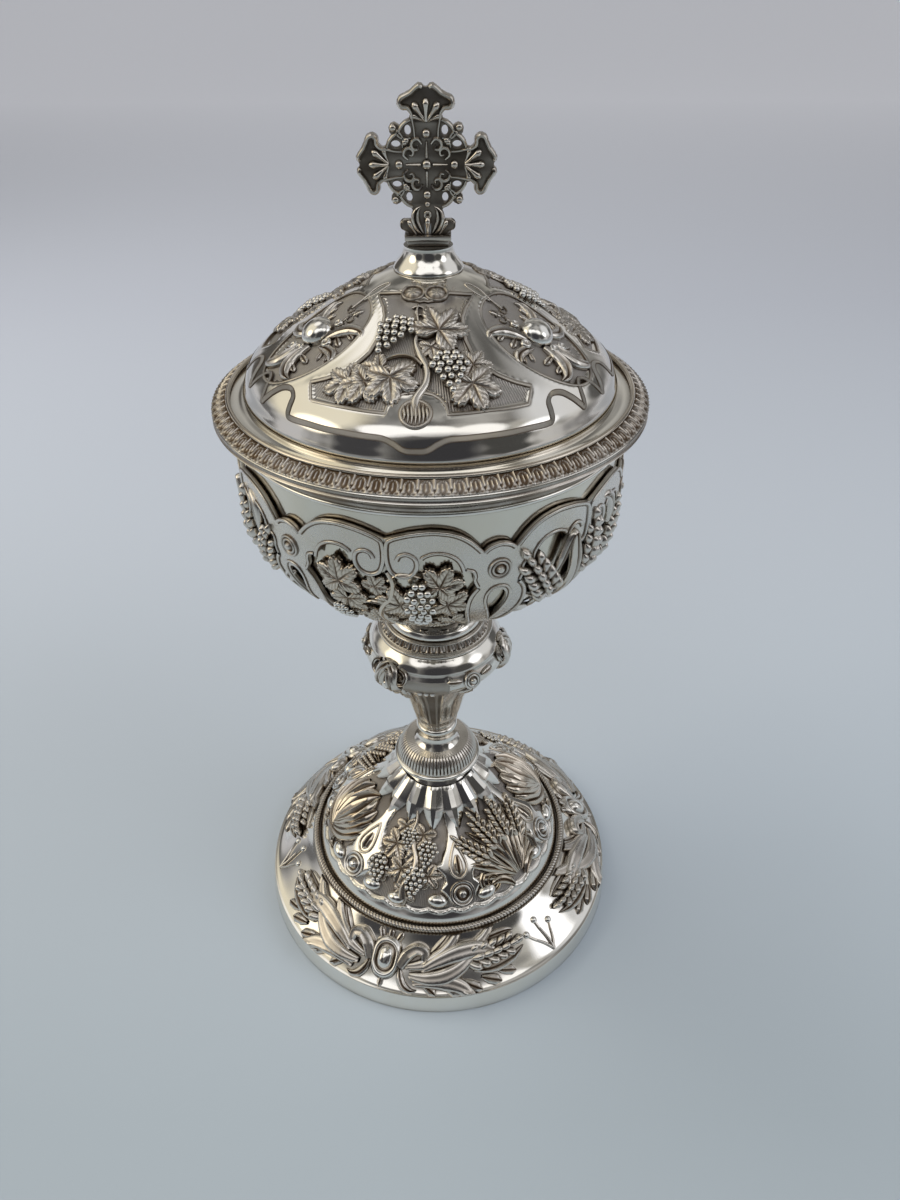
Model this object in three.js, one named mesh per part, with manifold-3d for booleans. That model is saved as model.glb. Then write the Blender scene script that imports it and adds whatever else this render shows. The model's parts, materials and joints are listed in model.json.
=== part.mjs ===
// Ciborium: a covered cup on a knopped stem, in embossed and polished silver.
// Millimetres, +Z up. The origin is the middle of the foot, on the table, and the front faces -Y.
// An azimuth is counted in degrees from the front, towards +X.

import * as THREE from "three";
import { mergeVertices } from "three/addons/utils/BufferGeometryUtils.js";
import Module from "manifold-3d";

const wasm = await Module();
wasm.setup();

// How finely the round pieces are cut
const wide_steps = 32;
const stem_steps = 20;
const rod_steps = 12;
const wire_sides = 6;
const swelling_sides = 6;
const swelling_rings = 4;

// Relief: how deep its blocks are cut, and the forms of its leaves in degrees and shares of the reach
const block_depth = 16;
const leaf_shoulder = 4;
const leaf_cleft = 0.62;
const vine_lobes = [
  [8, 1],
  [28, 0.6],
  [55, 0.97],
  [88, 0.55],
  [117, 0.82],
  [165, 0.3],
];

// Clearances
const seat_gap = 0.3;
const lid_play = 0.4;
const rod_play = 0.4;
const cut_past = 1;

// Foot
const foot_radius = 75;
const rim_height = 8.5;
const rim_lean = 1.2;
const rim_base_width = 3.6;
const rim_base_height = 2.4;
const foot_wall = 1;
const flange_rise = 13.8;
const flange_top_radius = 55.6;
const ledge_lap = 0.6;
const cord_radius = 1.1;
const cord_margin = 0.8;
const dome_rise = 41.7;
const dome_top_radius = 13;
const cartouche_count = 3;
const cartouche_turn = -18.4;
const cartouche_size = { across: 6.2, tall: 4.6, proud: 2.2 };
const foot_strap_count = 6;
const foot_strap_turn = 12.7;
const foot_strap_drop = 20;
const foot_strap_proud = 1.2;
const foot_strap_half = [
  [2.2, 15.3],
  [2.2, 8],
  [3.6, 2.5],
  [8.2, -1.8],
  [5.8, -6.6],
  [6.8, -10.4],
  [5.2, -14.4],
  [2, -17.9],
];
const foot_button_drop = 30;
const foot_button_size = { across: 3.2, tall: 3.2, proud: 2.4 };
const foot_bay_count = 2;
const foot_leaf_proud = 1.6;
const shell_fan_drop = 30.6;
const shell_fan = { count: 9, spread: 17, reach: 21 };
const reed_fan_drop = 31.8;
const reed_fan = { count: 5, spread: 22, reach: 18 };
const foot_ear_size = { across: 2.3, tall: 7.5, proud: 2.4 };
const foot_ears = [
  { angle: -10, drop: 21, turn: 10 },
  { angle: -2, drop: 19.6, turn: 0 },
  { angle: 8, drop: 19.6, turn: -12 },
  { angle: 17, drop: 21, turn: -26 },
];
const foot_bunch_size = { across: 3.6, tall: 5, proud: 2.6 };
const foot_bunches = [
  { angle: -16, drop: 27, turn: 12 },
  { angle: 4.5, drop: 28, turn: -4 },
  { angle: 11.5, drop: 18.5, turn: -8 },
];
const foot_leaves = [
  { angle: -11, drop: 19.4, turn: 160, reach: 6 },
  { angle: 5, drop: 20.3, turn: 200, reach: 5.4 },
  { angle: -3, drop: 24.5, turn: 180, reach: 5.7 },
  { angle: 13, drop: 25.5, turn: 215, reach: 4.8 },
  { angle: -8, drop: 15.8, turn: 190, reach: 4.5 },
];

// Leaf collar
const leaf_wall = 0.8;
const leaf_count = 16;
const leaf_turn = -4;
const leaf_length = 12.6;
const leaf_notch = 7.5;

// Lower stem
const base_disc_radius = 17.4;
const base_disc_height = 6.5;
const base_disc_under = 1.4;
const base_disc_round = 0.8;
const fluted_ring_radius = 16.2;
const fluted_ring_top = 13.9;
const fluted_ring_height = 6.7;
const fluted_ring_lean = 0.4;
const fluted_ring_round = 1.2;
const neck_foot_radius = 9.2;
const neck_waist_radius = 6.9;
const neck_height = 6.8;
const neck_flare = 0.6;
const neck_lip = 0.2;
const neck_ring_radius = 8.1;
const neck_ring_height = 3;
const neck_ring_round = 0.9;

// Knop
const knop_wall = 1;
const knop_height = 49;
const knop_radius = 26.4;
const knop_foot_radius = 7;
const knop_shoulder_radius = 20.8;
const knop_boss_count = 6;
const knop_boss_turn = 32;
const knop_boss_size = { across: 4.6, tall: 3.8, proud: 1.6 };
const knop_tube_wall = 1.6;
const knop_band_height = 4.6;
const knop_band_top = 18.4;
const knop_band_step = 0.9;
const top_ring_radius = 17.2;
const top_ring_height = 4.4;
const top_ring_round = 0.8;
const top_ring_slope = 1.2;
const ring_bore = 9;

// Bowl
const bowl_radius = 58.1;
const bowl_wall = 1;
const bowl_curve = 38;
const bowl_side = 27.8;
const boss_radius = 8;
const boss_height = 13;
const rim_moulding_height = 4;
const rim_moulding_drop = 3.4;
const rim_moulding_proud = 1;
const rim_moulding_step = 0.3;

// Calyx
const calyx_wall = 1.2;
const calyx_foot_radius = 14;
const calyx_side_gap = 0.4;
const calyx_swell = 0.9;
const calyx_steps = 7;
const calyx_strap_count = 6;
const calyx_strap_turn = 18.8;
const strap_half_angle = 8.3;
const strap_waist_angle = 5.6;
const strap_boss_drop = 25.5;
const arch_peak_drop = 11.4;
const arch_valley_drop = 14.4;
const arch_foot_drop = 19.4;
const small_arch_drop = 17.6;
const arch_width = 6;
const arch_shoulder_angle = 5;
const arch_foot_angle = 3;
const arch_valley_angle = 2;
const window_lift = 18;
const window_waist_drop = 2;
const window_shoulder_drop = 11;
const window_spray_drop = 10;
const window_side_angle = 1;
const spray_half_angle = 13.5;
const spray_drop = 8;
const keyhole_height = 15;
const keyhole_drop = 6;
const keyhole_half_angle = 2.9;
const grape_size = { across: 4.4, tall: 6.4, proud: 2.2 };

// Rod through the stem
const rod_radius = 3;
const rod_tail = 12;
const thread_depth = 9;
const foot_washer_radius = 11;
const foot_washer_height = 1.5;
const foot_nut_radius = 5.8;
const foot_nut_height = 6;
const foot_nut_chamfer = 0.8;
const wing_span = 13;
const wing_height = 7;
const wing_thickness = 2;
const wing_overhang = 3;

// Lid
const lid_wall = 0.9;
const lid_overhang = 7.2;
const lid_edge_height = 1.9;
const lid_edge_lean = 0.1;
const lid_edge_hollow = 0.4;
const lid_flange_width = 9.7;
const flange_slope_run = 4.1;
const flange_slope_rise = 2.4;
const flange_ledge_drop = 0.2;
const flange_hollow_run = 1.8;
const flange_hollow_drop = 0.3;
const flange_flat = 1;
const lid_dome_rise = 33.4;
const lid_dome_top_radius = 9.5;
const lid_ledge_width = 2;
const gallery_thickness = 0.7;
const bead_radius = 0.7;
const bead_inset = 0.9;
const bezel_depth = 7;
const bezel_wall = 0.9;
const seat_ring_height = 1;
const medallion_count = 3;
const medallion_turn = 58.5;
const medallion_drop = 13;
const medallion_fruit = { across: 4.9, tall: 4.9, proud: 3 };
const acanthus_tips = [
  [38, 12.4],
  [100, 11.8],
  [158, 14],
  [200, 13],
  [252, 11.8],
  [298, 12.4],
];
const vine_turn = -3;
const vine_proud = 1.3;
const vine_cluster_size = { across: 4.6, tall: 6, proud: 2.6 };
const vine_clusters = [
  { angle: -13, drop: 9.8, turn: -4 },
  { angle: 12.6, drop: 15.6, turn: 0 },
];
const vine_stump_size = { across: 4, tall: 4, proud: 1.4 };
const vine_stump_drop = 21.7;
const vine_stem_drop = 14.1;
const vine_stem = [
  [-0.2, -14.5, 1.9],
  [-0.4, -10.5, 1.5],
  [1.9, -5.6, 1.4],
  [2, -1, 1.3],
  [-0.1, 3.6, 1.2],
  [-1.5, 7.7, 0.9],
  [-0.9, 12, 0.7],
  [-1.7, 17.7, 0.5],
];
const vine_leaves = [
  { angle: 7.5, drop: 9.4, turn: -70, reach: 7.7 },
  { angle: -24.5, drop: 17.6, turn: 150, reach: 6.8 },
  { angle: -17, drop: 16.7, turn: 172, reach: 6.4 },
  { angle: -9.6, drop: 15.8, turn: 192, reach: 7 },
  { angle: 19.5, drop: 16.8, turn: 200, reach: 7 },
];

// Finial
const collar_radius = 9.8;
const collar_top_radius = 6.8;
const collar_height = 6.3;
const collar_edge = 0.3;
const collar_hollow = 0.4;
const cross_rise = 38.8;
const cross_centre = 20;
const cross_reach = 18.45;
const cross_thickness = 4.4;
const cross_foot = { wide: 12.6, deep: 9.6, tall: 1.9 };
const cross_block = { wide: 9, deep: 7, tall: 6 };
const cross_hole_radius = 1.25;
const stud_radius = 1.6;
const stud_tail = 1.5;
const stud_reach = 6;
const stud_play = 0.3;
const cross_washer_radius = 5;
const cross_washer_height = 1;
const cross_nut_radius = 3.8;
const cross_nut_height = 3.5;

// Sizes that follow, from the table up
const dome_foot_radius = flange_top_radius - 2 * cord_radius - cord_margin;
const ledge_inner_radius = dome_foot_radius - foot_wall - ledge_lap;
const ledge_height = rim_height + flange_rise;
const dome_top = ledge_height + dome_rise;
const disc_top = dome_top + base_disc_height;
const fluted_top = disc_top + fluted_ring_height;
const neck_top = fluted_top + neck_height;
const neck_ring_top = neck_top + neck_ring_height;
const knop_top = neck_ring_top + knop_height;
const band_top = knop_top + knop_band_height;
const top_ring_top = band_top + top_ring_height;
const boss_foot = top_ring_top + calyx_wall;
const bowl_foot = boss_foot + boss_height;
const bowl_start_angle = Math.asin(boss_radius / bowl_radius);
const bowl_side_foot = bowl_foot + bowl_curve * Math.cos(bowl_start_angle);
const lip_height = bowl_side_foot + bowl_side;
const lid_rest = lip_height + seat_gap;
const lid_ledge = lid_rest + lid_edge_height + flange_slope_rise + flange_ledge_drop;
const lid_dome_top = lid_ledge + lid_dome_rise;
const collar_top = lid_dome_top + collar_height;
const lid_edge_radius = bowl_radius + lid_overhang;
const lid_dome_radius = lid_edge_radius - lid_flange_width;
const rod_bore = rod_radius + rod_play;
const stud_bore = stud_radius + stud_play;

/** One finish of silver. */
function silver(color, roughness) {
  return new THREE.MeshStandardMaterial({ color, roughness, metalness: 1 });
}

const polished = () => silver(0xd9d6ce, 0.16);
const embossed = () => silver(0xbfb9ac, 0.32);
const satin = () => silver(0xb4b2ab, 0.42);
const oxidised = () => silver(0x8f8778, 0.36);
const steel = () => silver(0x8a8c8e, 0.45);

/** A point of an outline: its distance from the axis and its height. */
const at = (radius, height) => new THREE.Vector2(radius, height);

/** A smooth outline through points given as shares of the way from start to end. */
function curveBetween(start, end, shares, steps) {
  const points = shares.map(([radial, rise]) =>
    at(start.x + (end.x - start.x) * radial, start.y + (end.y - start.y) * rise),
  );
  return new THREE.SplineCurve(points).getPoints(steps);
}

/** The outline moved sideways, to the left of its own direction. */
function moved(outline, distance) {
  const last = outline.length - 1;
  return outline.map((point, i) => {
    const before = point.clone().sub(outline[Math.max(i - 1, 0)]);
    const after = outline[Math.min(i + 1, last)].clone().sub(point);
    if (i === 0) before.copy(after);
    if (i === last) after.copy(before);
    const along = before.normalize().add(after.normalize()).normalize();
    const mitre = 1 / Math.max(along.dot(after), 0.7);
    return at(point.x - along.y * distance * mitre, point.y + along.x * distance * mitre);
  });
}

/** The first end of a line brought to a height, on the line's own slope. */
function levelled(line, height) {
  const kept = line.slice();
  const far = Math.sign(kept[kept.length - 1].y - height);
  while (kept.length > 2 && Math.sign(kept[1].y - height) !== far) kept.shift();
  const share = (height - kept[0].y) / (kept[1].y - kept[0].y);
  kept[0] = kept[0].clone().lerp(kept[1], share);
  return kept;
}

/** The closed section of a metal sheet. The wall grows to the left of the outline's direction. */
function sheet(outline, wall, { levelStart = false } = {}) {
  let inside = moved(outline, wall);
  if (levelStart) inside = levelled(inside, outline[0].y);
  return [...outline, ...inside.reverse()];
}

/** Only the places, with the shared corners of neighbouring faces merged. */
function merged(geometry) {
  geometry.deleteAttribute("normal");
  geometry.deleteAttribute("uv");
  return mergeVertices(geometry, 1e-4);
}

/** A piece turned about the axis from its closed section. */
function turned(section, steps) {
  const loop = THREE.ShapeUtils.area(section) > 0 ? section.slice() : section.slice().reverse();
  loop.push(loop[0].clone());
  const geometry = new THREE.LatheGeometry(loop, steps);
  geometry.rotateX(Math.PI / 2);
  return merged(geometry);
}

/** The section of a round wire, with its centre at a radius and a height. */
function wireSection(radius, height, thickness) {
  return Array.from({ length: wire_sides }, (_, i) => {
    const angle = ((i + 0.5) / wire_sides) * 2 * Math.PI;
    return at(radius + thickness * Math.cos(angle), height + thickness * Math.sin(angle));
  });
}

/** A geometry as a solid that can be cut and joined. */
function solid(geometry) {
  const triVerts = new Uint32Array(geometry.index.array);
  const vertProperties = new Float32Array(geometry.attributes.position.array);
  return new wasm.Manifold(new wasm.Mesh({ numProp: 3, vertProperties, triVerts }));
}

/** A solid back as a geometry. */
function geometryOf(body) {
  const mesh = body.getMesh();
  const geometry = new THREE.BufferGeometry();
  geometry.setAttribute("position", new THREE.BufferAttribute(mesh.vertProperties, 3));
  geometry.setIndex(new THREE.BufferAttribute(mesh.triVerts, 1));
  return geometry;
}

/** A flat shape, drawn in degrees of azimuth and millimetres of height, wrapped round the axis. */
function wrapped(shape, innerRadius, outerRadius, curveSegments = 8) {
  const depth = outerRadius - innerRadius;
  const geometry = new THREE.ExtrudeGeometry(shape, { depth, bevelEnabled: false, curveSegments });
  const places = geometry.attributes.position;
  for (let i = 0; i < places.count; i++) {
    const azimuth = THREE.MathUtils.degToRad(places.getX(i));
    const radius = innerRadius + places.getZ(i);
    places.setXYZ(i, radius * Math.sin(azimuth), -radius * Math.cos(azimuth), places.getY(i));
  }
  return solid(merged(geometry));
}

/** The place on an outline at a height, with the direction that faces away from the metal. */
function placeOn(outline, height) {
  const next = outline.findIndex((point, i) => {
    if (i === 0) return false;
    return (outline[i - 1].y - height) * (point.y - height) <= 0 && outline[i - 1].y !== point.y;
  });
  const [low, high] = [outline[next - 1], outline[next]];
  const place = low.clone().lerp(high, (height - low.y) / (high.y - low.y));
  const along = high.clone().sub(low).normalize();
  return { place, away: at(along.y, -along.x) };
}

/** Where something stands on an outline: X runs across the slope, -Y out of the metal, Z up it. */
function standing(outline, height, azimuth) {
  const { place, away } = placeOn(outline, height);
  return new THREE.Matrix4()
    .makeRotationZ(THREE.MathUtils.degToRad(azimuth))
    .multiply(new THREE.Matrix4().makeTranslation(0, -place.x, place.y))
    .multiply(new THREE.Matrix4().makeRotationX(-Math.atan2(away.y, away.x)));
}

/** A low oval swelling that stands on an outline at a height and an azimuth, turned on the slope. */
function swelling(outline, height, azimuth, { across, tall, proud }, turn = 0) {
  const geometry = new THREE.SphereGeometry(1, swelling_sides, swelling_rings);
  geometry.scale(across, proud, tall);
  geometry.rotateY(-THREE.MathUtils.degToRad(turn));
  return solid(merged(geometry.applyMatrix4(standing(outline, height, azimuth))));
}

/** A flat shape in millimetres, turned on the slope, as a block that stands through an outline. */
function block(outline, height, azimuth, shape, turn = 0) {
  const geometry = new THREE.ExtrudeGeometry(shape, { depth: block_depth, bevelEnabled: false });
  geometry.translate(0, 0, -block_depth / 2);
  geometry.rotateZ(THREE.MathUtils.degToRad(turn));
  geometry.rotateX(Math.PI / 2);
  return solid(merged(geometry.applyMatrix4(standing(outline, height, azimuth))));
}

/** Low relief on a sheet: shapes cut down to a layer that stands proud and reaches into its wall. */
function relief(outline, wall, proud, shapes) {
  const layer = turned([...moved(outline, -proud), ...moved(outline, wall / 2).reverse()], wide_steps);
  return shapes.reduce((whole, one) => whole.add(one)).intersect(solid(layer));
}

/** A point at a distance from the middle of a shape, with its angle counted from the top. */
function polar(angle, distance) {
  const turn = THREE.MathUtils.degToRad(angle);
  return at(distance * Math.sin(turn), distance * Math.cos(turn));
}

/** A shape from the points of its right half, from the top down. */
function mirrored(right) {
  return new THREE.Shape([...right, ...right.map((point) => at(-point.x, point.y)).reverse()]);
}

/** The points of leaves with blunt tips, each given by its angle and its reach, with clefts between. */
function leafPoints(tips) {
  return tips.flatMap(([angle, reach], i) => {
    const [nextAngle, nextReach] = tips[(i + 1) % tips.length];
    const gap = (nextAngle - angle + 360) % 360;
    return [
      polar(angle - leaf_shoulder, reach),
      polar(angle + leaf_shoulder, reach),
      polar(angle + gap / 2, Math.min(reach, nextReach) * leaf_cleft),
    ];
  });
}

/** A fan of leaves that spread upwards from one point. */
function fanShape({ count, spread, reach }) {
  const tips = Array.from({ length: count }, (_, i) => {
    const angle = (i - (count - 1) / 2) * spread;
    return [angle, reach * Math.cos(THREE.MathUtils.degToRad(angle / 2))];
  });
  return new THREE.Shape([...leafPoints(tips).slice(0, -1), at(0, 0)]);
}

/** A vine leaf with five lobes, its tip up. */
function vineLeaf(reach) {
  return mirrored(vine_lobes.map(([angle, share]) => polar(angle, share * reach)));
}

/** The azimuths of pieces spread evenly all round. */
const around = (count, turn) => Array.from({ length: count }, (_, i) => turn + (i * 360) / count);

/** A body with swellings or relief joined on. */
function withSwellings(body, swellings) {
  return swellings.reduce((whole, lump) => whole.add(lump), body);
}

const ciborium = new THREE.Group();

/** Adds one piece to the ciborium, under its own name. */
function piece(name, geometry, material) {
  const mesh = new THREE.Mesh(geometry, material);
  mesh.name = name;
  ciborium.add(mesh);
}

// Foot rim: the plain band that stands on the table, thick at its base
const rim_top_radius = foot_radius - rim_lean;
piece(
  "foot_rim",
  turned(
    [
      at(foot_radius, 0),
      at(rim_top_radius, rim_height),
      at(rim_top_radius - foot_wall, rim_height),
      at(rim_top_radius - foot_wall, rim_base_height),
      at(foot_radius - rim_base_width, rim_base_height),
      at(foot_radius - rim_base_width, 0),
    ],
    wide_steps,
  ),
  polished(),
);

// Foot flange: the embossed outer ring, with a ledge that carries the dome and the cord ring
const flange_outline = [
  ...curveBetween(
    at(rim_top_radius, rim_height),
    at(flange_top_radius, ledge_height),
    [
      [0, 0],
      [0.12, 0.06],
      [0.42, 0.36],
      [0.8, 0.76],
      [1, 1],
    ],
    4,
  ),
  at(ledge_inner_radius, ledge_height),
];
const cartouches = around(cartouche_count, cartouche_turn).map((azimuth) =>
  swelling(flange_outline, rim_height + flange_rise / 2, azimuth, cartouche_size),
);
const flange_body = solid(turned(sheet(flange_outline, foot_wall, { levelStart: true }), wide_steps));
piece("foot_flange", geometryOf(withSwellings(flange_body, cartouches)), embossed());

// Foot cord ring: the twisted wire in the corner between the dome and the flange
const cord_height = ledge_height + seat_gap + cord_radius;
piece(
  "foot_cord_ring",
  turned(wireSection(dome_foot_radius + seat_gap + cord_radius, cord_height, cord_radius), wide_steps),
  polished(),
);

// Foot dome: the embossed sheet that swells up to the stem
const dome_slope = curveBetween(
  at(dome_foot_radius, ledge_height),
  at(dome_top_radius, dome_top),
  [
    [0, 0],
    [0.066, 0.14],
    [0.318, 0.42],
    [0.722, 0.71],
    [1, 1],
  ],
  7,
);
const dome_outline = [...dome_slope, at(rod_bore, dome_top)];
const leaf_tip_height = dome_top - leaf_length;
const relief_top = leaf_tip_height - leaf_wall;
const relief_slope = [
  ...dome_slope.filter((point) => point.y < relief_top),
  placeOn(dome_slope, relief_top).place,
];
const foot_strap = mirrored(foot_strap_half.map(([across, up]) => at(across, up)));
const foot_straps = around(foot_strap_count, foot_strap_turn);
const foot_bay_angle = 360 / foot_strap_count;
const [wheat_bays, fan_bays, grape_bays] = [0, 1, 2].map((kind) =>
  around(foot_bay_count, foot_strap_turn + foot_bay_angle * (kind + 0.5)),
);
const dome_straps = foot_straps.map((azimuth) =>
  block(dome_slope, dome_top - foot_strap_drop, azimuth, foot_strap),
);
const dome_leaves = [
  ...fan_bays.map((azimuth) =>
    block(dome_slope, dome_top - shell_fan_drop, azimuth, fanShape(shell_fan)),
  ),
  ...wheat_bays.map((azimuth) =>
    block(dome_slope, dome_top - reed_fan_drop, azimuth, fanShape(reed_fan)),
  ),
  ...grape_bays.flatMap((azimuth) =>
    foot_leaves.map(({ angle, drop, turn, reach }) =>
      block(dome_slope, dome_top - drop, azimuth + angle, vineLeaf(reach), turn),
    ),
  ),
];
const dome_lumps = [
  ...foot_straps.map((azimuth) =>
    swelling(dome_slope, dome_top - foot_button_drop, azimuth, foot_button_size),
  ),
  ...wheat_bays.flatMap((azimuth) =>
    foot_ears.map(({ angle, drop, turn }) =>
      swelling(dome_slope, dome_top - drop, azimuth + angle, foot_ear_size, turn),
    ),
  ),
  ...grape_bays.flatMap((azimuth) =>
    foot_bunches.map(({ angle, drop, turn }) =>
      swelling(dome_slope, dome_top - drop, azimuth + angle, foot_bunch_size, turn),
    ),
  ),
];
const dome_sheet = solid(turned(sheet(dome_outline, foot_wall, { levelStart: true }), wide_steps));
const dome_body = withSwellings(dome_sheet, [
  relief(relief_slope, foot_wall, foot_strap_proud, dome_straps),
  relief(relief_slope, foot_wall, foot_leaf_proud, dome_leaves),
  relief(relief_slope, foot_wall, foot_bunch_size.proud, dome_lumps),
]);
piece("foot_dome", geometryOf(dome_body), embossed());

// Leaf collar: pointed leaves that lie on the top of the dome
const collar_line = [
  placeOn(dome_slope, leaf_tip_height).place,
  ...dome_slope.filter((point) => point.y > leaf_tip_height + leaf_wall),
];
const collar_under = moved(collar_line, -seat_gap);
const leaf_section = [...moved(collar_line, -seat_gap - leaf_wall), ...collar_under.reverse()];
const leaf_pitch = 360 / leaf_count;
const collar_low = Math.min(...leaf_section.map((point) => point.y));
let leaf_body = solid(turned(leaf_section, wide_steps));
for (const azimuth of around(leaf_count, leaf_turn + leaf_pitch / 2)) {
  const notch = new THREE.Shape([
    at(azimuth - leaf_pitch / 2, collar_low - cut_past),
    at(azimuth + leaf_pitch / 2, collar_low - cut_past),
    at(azimuth, collar_low + leaf_notch),
  ]);
  leaf_body = leaf_body.subtract(wrapped(notch, dome_top_radius / 2, dome_foot_radius, 1));
}
piece("leaf_collar", geometryOf(leaf_body), polished());

// Base disc: the round-edged plate that the stem stands on
piece(
  "base_disc",
  turned(
    [
      at(rod_bore, dome_top),
      at(dome_top_radius, dome_top),
      at(base_disc_radius - base_disc_under, dome_top + base_disc_height * 0.6),
      at(base_disc_radius, dome_top + base_disc_height * 0.74),
      at(base_disc_radius, dome_top + base_disc_height * 0.9),
      at(base_disc_radius - base_disc_round, disc_top),
      at(rod_bore, disc_top),
    ],
    stem_steps,
  ),
  polished(),
);

// Fluted ring: the convex ring of small upright flutes
piece(
  "fluted_ring",
  turned(
    [
      at(rod_bore, disc_top),
      at(fluted_ring_radius, disc_top),
      at(fluted_ring_radius - fluted_ring_lean, disc_top + fluted_ring_height * 0.4),
      at(fluted_ring_top, disc_top + fluted_ring_height * 0.85),
      at(fluted_ring_top - fluted_ring_round, fluted_top),
      at(rod_bore, fluted_top),
    ],
    stem_steps,
  ),
  embossed(),
);

// Stem neck: the narrow spool
piece(
  "stem_neck",
  turned(
    [
      at(rod_bore, fluted_top),
      at(neck_foot_radius, fluted_top),
      at(neck_waist_radius + neck_flare, fluted_top + neck_height * 0.3),
      at(neck_waist_radius, fluted_top + neck_height * 0.65),
      at(neck_waist_radius + neck_lip, neck_top),
      at(rod_bore, neck_top),
    ],
    stem_steps,
  ),
  polished(),
);

// Neck ring: the small round moulding under the knop
piece(
  "neck_ring",
  turned(
    [
      at(rod_bore, neck_top),
      at(neck_ring_radius - neck_ring_round, neck_top),
      at(neck_ring_radius, neck_top + neck_ring_height * 0.3),
      at(neck_ring_radius, neck_top + neck_ring_height * 0.7),
      at(neck_ring_radius - neck_ring_round, neck_ring_top),
      at(rod_bore, neck_ring_top),
    ],
    stem_steps,
  ),
  polished(),
);

// Knop: the hollow vase-shaped swelling, open only where the rod runs through
const knop_cone = curveBetween(
  at(knop_foot_radius, neck_ring_top),
  at(knop_radius, neck_ring_top + knop_height * 0.83),
  [
    [0, 0],
    [0.14, 0.17],
    [0.32, 0.46],
    [0.6, 0.72],
    [0.94, 0.9],
    [1, 1],
  ],
  6,
);
const knop_outline = [
  at(rod_bore, neck_ring_top),
  ...knop_cone,
  at((knop_radius + knop_shoulder_radius) / 2, neck_ring_top + knop_height * 0.94),
  at(knop_shoulder_radius, knop_top),
  at(rod_bore, knop_top),
];
const knop_bosses = around(knop_boss_count, knop_boss_turn).map((azimuth) =>
  swelling(knop_outline, neck_ring_top + knop_height * 0.8, azimuth, knop_boss_size),
);
const knop_body = solid(turned(sheet(knop_outline, knop_wall), stem_steps));
piece("knop", geometryOf(withSwellings(knop_body, knop_bosses)), embossed());

// Knop tube: takes the pull of the rod between the knop's two ends
piece(
  "knop_tube",
  turned(
    [
      at(rod_bore, neck_ring_top + knop_wall),
      at(rod_bore + knop_tube_wall, neck_ring_top + knop_wall),
      at(rod_bore + knop_tube_wall, knop_top - knop_wall),
      at(rod_bore, knop_top - knop_wall),
    ],
    rod_steps,
  ),
  steel(),
);

// Knop band: the sloping ring of small leaves on the knop's shoulder
piece(
  "knop_band",
  turned(
    [
      at(ring_bore, knop_top),
      at(knop_shoulder_radius, knop_top),
      at(knop_shoulder_radius, knop_top + knop_band_height * 0.2),
      at(knop_shoulder_radius - knop_band_step, knop_top + knop_band_height * 0.34),
      at(knop_band_top, band_top),
      at(ring_bore, band_top),
    ],
    stem_steps,
  ),
  embossed(),
);

// Stem top ring: the polished ring under the calyx
piece(
  "stem_top_ring",
  turned(
    [
      at(ring_bore, band_top),
      at(top_ring_radius - top_ring_round, band_top),
      at(top_ring_radius, band_top + top_ring_height * 0.25),
      at(top_ring_radius, band_top + top_ring_height * 0.5),
      at(top_ring_radius - top_ring_slope, band_top + top_ring_height * 0.75),
      at(calyx_foot_radius, top_ring_top),
      at(ring_bore, top_ring_top),
    ],
    stem_steps,
  ),
  polished(),
);

// Cup: the smooth bowl, with a straight side over a rounded bottom
const bowl_steps = 5;

/** A point of the bowl's round part, or out from it. The angle is counted up from the bottom. */
function offBowl(angle, distance) {
  const point = at(bowl_radius * Math.sin(angle), bowl_side_foot - bowl_curve * Math.cos(angle));
  const away = at(Math.sin(angle) / bowl_radius, -Math.cos(angle) / bowl_curve).normalize();
  return point.addScaledVector(away, distance);
}

const bowl_round = Array.from({ length: bowl_steps + 1 }, (_, i) =>
  offBowl(bowl_start_angle + ((Math.PI / 2 - bowl_start_angle) * i) / bowl_steps, 0),
);
const bowl_outline = [at(0, bowl_foot), ...bowl_round, at(bowl_radius, lip_height)];
piece("cup", turned(sheet(bowl_outline, bowl_wall), wide_steps), polished());

// Cup rim moulding: two half-round beads below the lip
const moulding_top = lip_height - rim_moulding_drop;
const moulding_inside = bowl_radius + seat_gap;
const moulding_outside = moulding_inside + rim_moulding_proud;
piece(
  "cup_rim_moulding",
  turned(
    [
      at(moulding_inside, moulding_top - rim_moulding_height),
      at(moulding_outside, moulding_top - rim_moulding_height * 0.8),
      at(moulding_inside + rim_moulding_proud / 2, moulding_top - rim_moulding_height * 0.55),
      at(moulding_outside + rim_moulding_step, moulding_top - rim_moulding_height * 0.3),
      at(moulding_inside, moulding_top),
    ],
    wide_steps,
  ),
  polished(),
);

// Cup boss: soldered under the bowl, with the blind thread for the rod
const thread_top = boss_foot + thread_depth;
piece(
  "cup_boss",
  turned(
    [
      at(rod_bore, boss_foot),
      at(boss_radius, boss_foot),
      at(boss_radius, bowl_foot),
      at(0, bowl_foot),
      at(0, thread_top),
      at(rod_bore, thread_top),
    ],
    rod_steps,
  ),
  steel(),
);

// Calyx: the openwork casting that holds the bowl
const calyx_radius = bowl_radius + calyx_side_gap + calyx_wall;
const calyx_top = lip_height - arch_peak_drop;
const calyx_off = calyx_side_gap + calyx_wall;
const calyx_points = [
  at(calyx_foot_radius, top_ring_top),
  offBowl(Math.PI * 0.13, calyx_off + calyx_swell * 3),
  ...[0.24, 0.34, 0.43].map((share) => offBowl(Math.PI * share, calyx_off + calyx_swell)),
  at(calyx_radius, bowl_side_foot),
  at(calyx_radius, calyx_top),
];
const calyx_side = new THREE.SplineCurve(calyx_points).getPoints(calyx_steps);
const calyx_outline = [at(rod_bore, top_ring_top), ...calyx_side];
const cut_inside = calyx_foot_radius / 2;
const cut_outside = calyx_radius + calyx_swell * 3 + cut_past;
const cut_top = calyx_top + cut_past;
const bay_angle = 360 / calyx_strap_count;

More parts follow.
